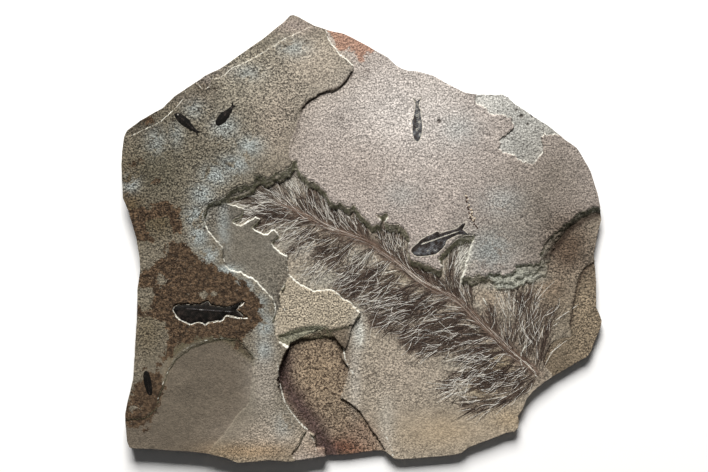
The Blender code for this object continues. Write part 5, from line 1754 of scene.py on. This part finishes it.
@dataclass
class RaisedSheet:
    """A low closed body that fills an outline on the picture face."""

    outline: Points
    pitch: float = 0.8

    def build(self, name: str, top: Heights, base: Heights) -> bpy.types.Object:
        """Model the body from a grid.

        Args:
            name: The piece's name.
            top: Gives the body's height in millimetres at places on the face.
            base: Gives the height of its underside there.

        Returns:
            The closed body.
        """
        corners = np.array(self.outline, float)
        low = corners.min(axis=0) - self.pitch * 2
        high = corners.max(axis=0) + self.pitch * 2
        columns, rows = np.ceil((high - low) / self.pitch).astype(int)
        deselect_all()
        bpy.ops.mesh.primitive_grid_add(x_subdivisions=int(columns), y_subdivisions=int(rows), size=1.0)
        item = bpy.context.object
        item.name = item.data.name = name
        flat = low + (coordinates(item)[:, :2] + 0.5) * (high - low)
        outside = signed_distance(flat[:, 0], flat[:, 1], self.outline) < self.pitch * 0.25
        self.move(item, flat, np.zeros(len(flat)))
        cut_away(item, outside)
        self.fit_border(item)
        count = len(item.data.vertices)
        bpy.ops.object.mode_set(mode="EDIT")
        select_border()
        bpy.ops.mesh.extrude_edges_move(TRANSFORM_OT_translate={"value": (0, 0, -FIRST_DROP)})
        bpy.ops.mesh.select_all(action="SELECT")
        bpy.ops.mesh.fill_holes(sides=0)
        bpy.ops.mesh.normals_make_consistent(inside=False)
        bpy.ops.object.mode_set(mode="OBJECT")
        places = coordinates(item)
        flat = places[:, :2] / MM - (SHIFT_X, SHIFT_Y)
        height = top(flat[:, 0], flat[:, 1])
        height[count:] = base(flat[count:, 0], flat[count:, 1])
        self.move(item, flat, height)
        return item

    @staticmethod
    def move(item: bpy.types.Object, flat: np.ndarray, height: np.ndarray) -> None:
        """Put a mesh's points at places on the face and at heights, in millimetres."""
        put_points(item, np.column_stack([flat + (SHIFT_X, SHIFT_Y), height]) * MM)

    def fit_border(self, item: bpy.types.Object) -> None:
        """Drop pinched corners and draw the border onto the outline."""
        closed = np.vstack([self.outline, self.outline[:1]]).astype(float)
        line = along_route(closed, np.arange(0, line_length(closed), 0.35))[0]
        shape = bmesh.new()
        shape.from_mesh(item.data)
        for _ in range(3):
            spare = [vertex for vertex in shape.verts if not vertex.link_faces or is_pinched(vertex)]
            bmesh.ops.delete(shape, geom=spare, context="VERTS")
        draw_border(shape, line, 0.05)
        shape.to_mesh(item.data)
        shape.free()


@dataclass
class Fish:
    """One fish: its low swollen body in its own outline, with ribs and fin rays."""

    name: str
    plan: FishPlan
    face: Face
    mould: StrandMould
    material: bpy.types.Material
    ceiling: float = 29.95

    def __post_init__(self) -> None:
        """Work out the fish's own directions."""
        self.length = self.plan.length()
        self.along, self.across = self.plan.directions()
        self.snout = np.array(self.plan.snout, float)

    def spot(self, share: object, side: object) -> np.ndarray:
        """Return the places at shares of the length and of the half depth."""
        share = np.atleast_1d(share)[:, None]
        side = np.atleast_1d(side)[:, None]
        return self.snout + self.along * (share * self.length) + self.across * (side * self.plan.half_depth)

    def shares(self, x: np.ndarray, y: np.ndarray) -> tuple[np.ndarray, np.ndarray]:
        """Return the share of the length at places on the face, and how far they are off the backbone."""
        gap = np.column_stack([x, y]) - self.snout
        share = gap @ self.along / self.length
        return share, gap @ self.across - np.interp(share, (0.2, 0.9), self.plan.spine)

    def ribbing(self, share: np.ndarray, off: np.ndarray) -> np.ndarray:
        """Return the wave of the ribs, from -1 to 1, where the trunk is."""
        wave = np.sin((share * self.length - 0.8 * np.abs(off)) * 2 * math.pi / 3.2)
        return wave * smooth_step(0.20, 0.28, share) * smooth_step(0.94, 0.86, share)

    def top(self, x: np.ndarray, y: np.ndarray) -> np.ndarray:
        """Return the body's height at places on the face."""
        plan = self.plan
        reach = np.clip(signed_distance(x, y, plan.outline()) / plan.half_depth, 0.0, 1.0)
        share, off = self.shares(x, y)
        swell = plan.crown * np.sqrt(1 - (1 - reach) ** 2)
        trunk = smooth_step(0.20, 0.26, share) * smooth_step(1.0, 0.92, share)
        spine = 0.55 * np.exp(-((off / 1.1) ** 2)) * trunk * (0.7 + 0.3 * np.sin(share * self.length * 2.1))
        skull = 0.5 * fractal_noise(x, y, 7.0, 83, 3) * smooth_step(0.24, 0.16, share)
        scales = 0.16 * fractal_noise(x, y, 2.6, 85, 2)
        bones = 0.20 * self.ribbing(share, off) + spine + skull + scales
        rock = self.face.sample(self.face.height, x, y)
        height = rock + 0.12 + swell + bones * min(1.0, plan.crown / 1.5) * smooth_step(0.0, 0.1, reach)
        return np.minimum(height, self.ceiling)

    def base(self, x: np.ndarray, y: np.ndarray) -> np.ndarray:
        """Return the height of the body's underside, a little inside the rock."""
        return self.face.sample(self.face.height, x, y) - 0.6

    def tones(self, x: np.ndarray, y: np.ndarray) -> np.ndarray:
        """Return how pale the body is at places on the face."""
        plan = self.plan
        share, off = self.shares(x, y)
        trunk = smooth_step(0.17, 0.26, share) * smooth_step(0.97, 0.9, share)
        line = plan.line * np.exp(-((off / 0.95) ** 2)) * trunk
        belly = plan.belly * smooth_step(1.0, -4.0, off)
        patches = 0.30 * fractal_noise(x, y, 5.0, 87, 3) + 0.12 * fractal_noise(x, y, 12.0, 88, 2)
        eye = np.hypot(share * self.length - 5.0, off - 1.0)
        tone = plan.tone + line + belly + patches + 0.15 * self.ribbing(share, off)
        return tone + plan.eye * np.exp(-((eye / 1.3) ** 2))

    def rays(self) -> bpy.types.Object:
        """Model the ribs that stand clear and the rays of the fins and of the forked tail."""
        strands = Strands(self.mould)
        scale = self.plan.half_depth / 13.0
        base = self.plan.tone

        def put(route: np.ndarray, width: float, tone: float, taper: float = 0.5) -> None:
            """Lay one bone on the body or beside it."""
            x, y = route[:, 0], route[:, 1]
            inside = signed_distance(x, y, self.plan.outline()) > 0
            floor = np.where(inside, self.top(x, y), self.face.sample(self.face.height, x, y))
            floor = np.minimum(floor, self.ceiling - 0.45)
            tones = (base + tone, base + tone + 0.1)
            strands.lay(route, floor, width * scale, 0.22 * scale + 0.1, tones, taper, 0.3)

        if self.plan.rim:
            closed = np.vstack([self.plan.outline(), self.plan.outline()[:1]]).astype(float)
            places, along = along_route(closed, np.arange(0.0, line_length(closed), 5.0))
            outer = places + left_of(along) * 0.9
            for start in range(len(outer)):
                put(outer[[start, (start + 1) % len(outer)]], 1.5 / scale, self.plan.rim, 0.0)
        for root in np.linspace(0.26, 0.9, 26):
            for side in (1, -1):
                ends = (root, root + 0.045, root + 0.085)
                offset = np.interp(root, (0.2, 0.9), self.plan.spine) / self.plan.half_depth
                reach = 0.55 * (1 - 0.55 * root)
                put(self.spot(ends, (offset, offset + 0.6 * reach * side, offset + reach * side)), 0.8, 0.13)
        for lobe in (1, -1):
            for ray in np.linspace(0.0, 1.0, 9 if self.plan.has_tail else 0):
                tip = self.spot(1.085 - 0.075 * ray, lobe * (0.9 - 0.8 * ray))
                root = self.spot(0.92, lobe * 0.2 * (1 - ray))
                put(np.vstack([root, (root + tip) / 2, tip]), 0.9, 0.08)
        return strands.build(self.name + "_rays", self.material)

    def build(self) -> bpy.types.Object:
        """Join body and rays into one piece and dress it."""
        body = RaisedSheet(self.plan.outline()).build(self.name + "_body", self.top, self.base)
        places = coordinates(body)
        carry(body.data, "tone", self.tones(places[:, 0] / MM - SHIFT_X, places[:, 1] / MM - SHIFT_Y))
        body.data.materials.append(self.material)
        rays = self.rays()
        deselect_all()
        rays.select_set(True)
        body.select_set(True)
        bpy.context.view_layer.objects.active = body
        bpy.ops.object.join()
        body.name = body.data.name = "bony_" + self.name
        bpy.ops.object.shade_smooth_by_angle(angle=math.radians(50))
        return settle(body, "fish_bone", self.name)


@dataclass
class Backbone:
    """The run of loose vertebrae right of the plant."""

    face: Face
    pale: Points = (
        (163, 68), (166, 62), (168, 53), (171, 46), (173, 42), (170, 37), (173, 34), (177, 32), (174, 29),
    )
    # dark knobs that stand as painted shadows beside the pale ones
    dark: Points = (
        (164, 65), (164, 59), (166, 50), (167, 47), (168, 41), (172, 40), (173, 36), (170, 33), (172, 30),
        (176, 28), (176, 23), (179, 20), (181, 17),
    )

    def knob(self) -> tuple[np.ndarray, list[tuple[int, ...]]]:
        """Model one vertebra as a low rounded knob and return its points and faces."""
        deselect_all()
        bpy.ops.mesh.primitive_ico_sphere_add(subdivisions=3, radius=1.0)
        ball = bpy.context.object
        points = coordinates(ball)
        lumps = lattice_noise(points[:, 0] * 3 + points[:, 2], points[:, 1] * 3, 2.0, 91)
        points *= 1 + 0.16 * lumps[:, None]
        faces = [tuple(polygon.vertices) for polygon in ball.data.polygons]
        bpy.data.objects.remove(ball, do_unlink=True)
        return points, faces

    def build(self) -> bpy.types.Object:
        """Set the knobs along the run, pale ones over dark ones that stand as their painted shadows, as one
        piece.
        """
        knob, knob_faces = self.knob()
        dice = np.random.default_rng(5)
        points = []
        faces = []
        tones = []
        for places, size, rise, tone in ((self.pale, 2.0, 1.0, 0.95), (self.dark, 1.9, 0.55, 0.04)):
            for x, y in places:
                turn = dice.uniform(0, math.pi)
                spin = np.array([[math.cos(turn), math.sin(turn)], [-math.sin(turn), math.cos(turn)]])
                flat = (knob[:, :2] * (size * dice.uniform(0.85, 1.15), size * 0.72)) @ spin
                rock = float(self.face.sample(self.face.height, np.array([x]), np.array([y]))[0])
                first = sum(len(part) for part in points)
                height = rock + 0.1 + knob[:, 2] * rise
                points.append(np.column_stack([flat + (x + SHIFT_X, y + SHIFT_Y), height]) * MM)
                faces += [tuple(corner + first for corner in face) for face in knob_faces]
                tones.append(np.full(len(knob), tone + dice.uniform(-0.1, 0.1)))
        bone = FishBone(
            "brown_bone", display(64, 44, 34), display(96, 72, 56),
            display(150, 128, 106), display(216, 202, 180),
        ).material()
        piece = mesh_object("loose_vertebrae", np.vstack(points), faces, np.concatenate(tones), bone)
        take_hold(piece)
        bpy.ops.object.shade_smooth()
        return settle(piece, "backbone", "backbone_fragment")


@dataclass
class Studio:
    """A plain pale floor, a strong light from the picture's top, soft fill and the camera."""

    camera_height: float = 3.2
    sensor: float = 36.0

    def floor(self) -> None:
        """Lay the pale floor."""
        deselect_all()
        bpy.ops.mesh.primitive_plane_add(size=14.0, location=(0, 0, 0))
        ground = bpy.context.object
        ground.name = "pale_floor"
        bench = Bench("pale_floor")
        shade = bench.between(bench.noise(400, 2, 0.5), 0.2, 0.8, 0.93, 0.95)
        colour = bench.scale_colour((1.0, 1.0, 1.0), shade)
        ground.data.materials.append(bench.finish(colour, 0.9, bench.bump(bench.noise(3, 2), 0.05)))

    @staticmethod
    def lamp(name: str, place: tuple[float, float, float], aim: tuple[float, float, float], size: float,
             power: float, colour: Colour = (1.0, 1.0, 1.0)) -> None:
        """Hang one soft square light.

        Args:
            name: Its name.
            place: Where it hangs, in metres.
            aim: What it points at.
            size: The length of its side.
            power: Its power in watts.
            colour: The colour of its light.
        """
        light = bpy.data.lights.new(name, "AREA")
        light.size = size
        light.energy = power
        light.color = colour
        item = bpy.data.objects.new(name, light)
        item.location = place
        item.rotation_euler = (Vector(aim) - Vector(place)).to_track_quat("-Z", "Y").to_euler()
        bpy.context.scene.collection.objects.link(item)

    def lights(self) -> None:
        """Hang the lights and set the room's soft glow."""
        self.lamp("key", (-0.7, 6.2, 4.7), (0.0, 0.0, 0.0), 3.8, 1262.0, (1.0, 0.985, 0.96))
        self.lamp("fill", (0.0, 0.0, 3.6), (0.0, 0.0, 0.0), 3.0, 4.0)
        world = bpy.data.worlds.new("room")
        world.use_nodes = True
        glow = world.node_tree.nodes["Background"]
        glow.inputs["Color"].default_value = (1.0, 1.0, 1.0, 1.0)
        glow.inputs["Strength"].default_value = 0.032
        bpy.context.scene.world = world
        bpy.context.scene.view_settings.view_transform = "Standard"

    def camera(self) -> None:
        """Look straight down on the face, framed as the photograph is."""
        optics = bpy.data.cameras.new("camera")
        distance = self.camera_height - FACE_HEIGHT * MM
        optics.sensor_width = self.sensor
        optics.lens = self.sensor * distance / (PHOTO_WIDTH * MM_PER_PIXEL * MM)
        eye = bpy.data.objects.new("camera", optics)
        centre = ((PHOTO_CENTRE[0] + SHIFT_X) * MM, (PHOTO_CENTRE[1] + SHIFT_Y) * MM)
        eye.location = (*centre, self.camera_height)
        bpy.context.scene.collection.objects.link(eye)
        bpy.context.scene.camera = eye

    def build(self) -> None:
        """Set up the whole studio."""
        self.floor()
        self.lights()
        self.camera()


def main() -> None:
    """Build every piece in order."""
    Studio().build()
    mould = StrandMould()
    face = Face()
    LOG.info("face read at %d points", face.x.size)
    plant = Plant(face, mould)
    plant.plan()
    Palette(face).paint()
    Slab(face).build()
    plant.build()
    bone = FishBone(
        "dark_bone", display(17, 16, 14), display(54, 46, 42),
        display(104, 106, 110), display(214, 208, 192),
    ).material()
    for name, plan in FISH.items():
        Fish(name, plan, face, mould, bone).build()
    Backbone(face).build()


if __name__ == "__main__":
    main()
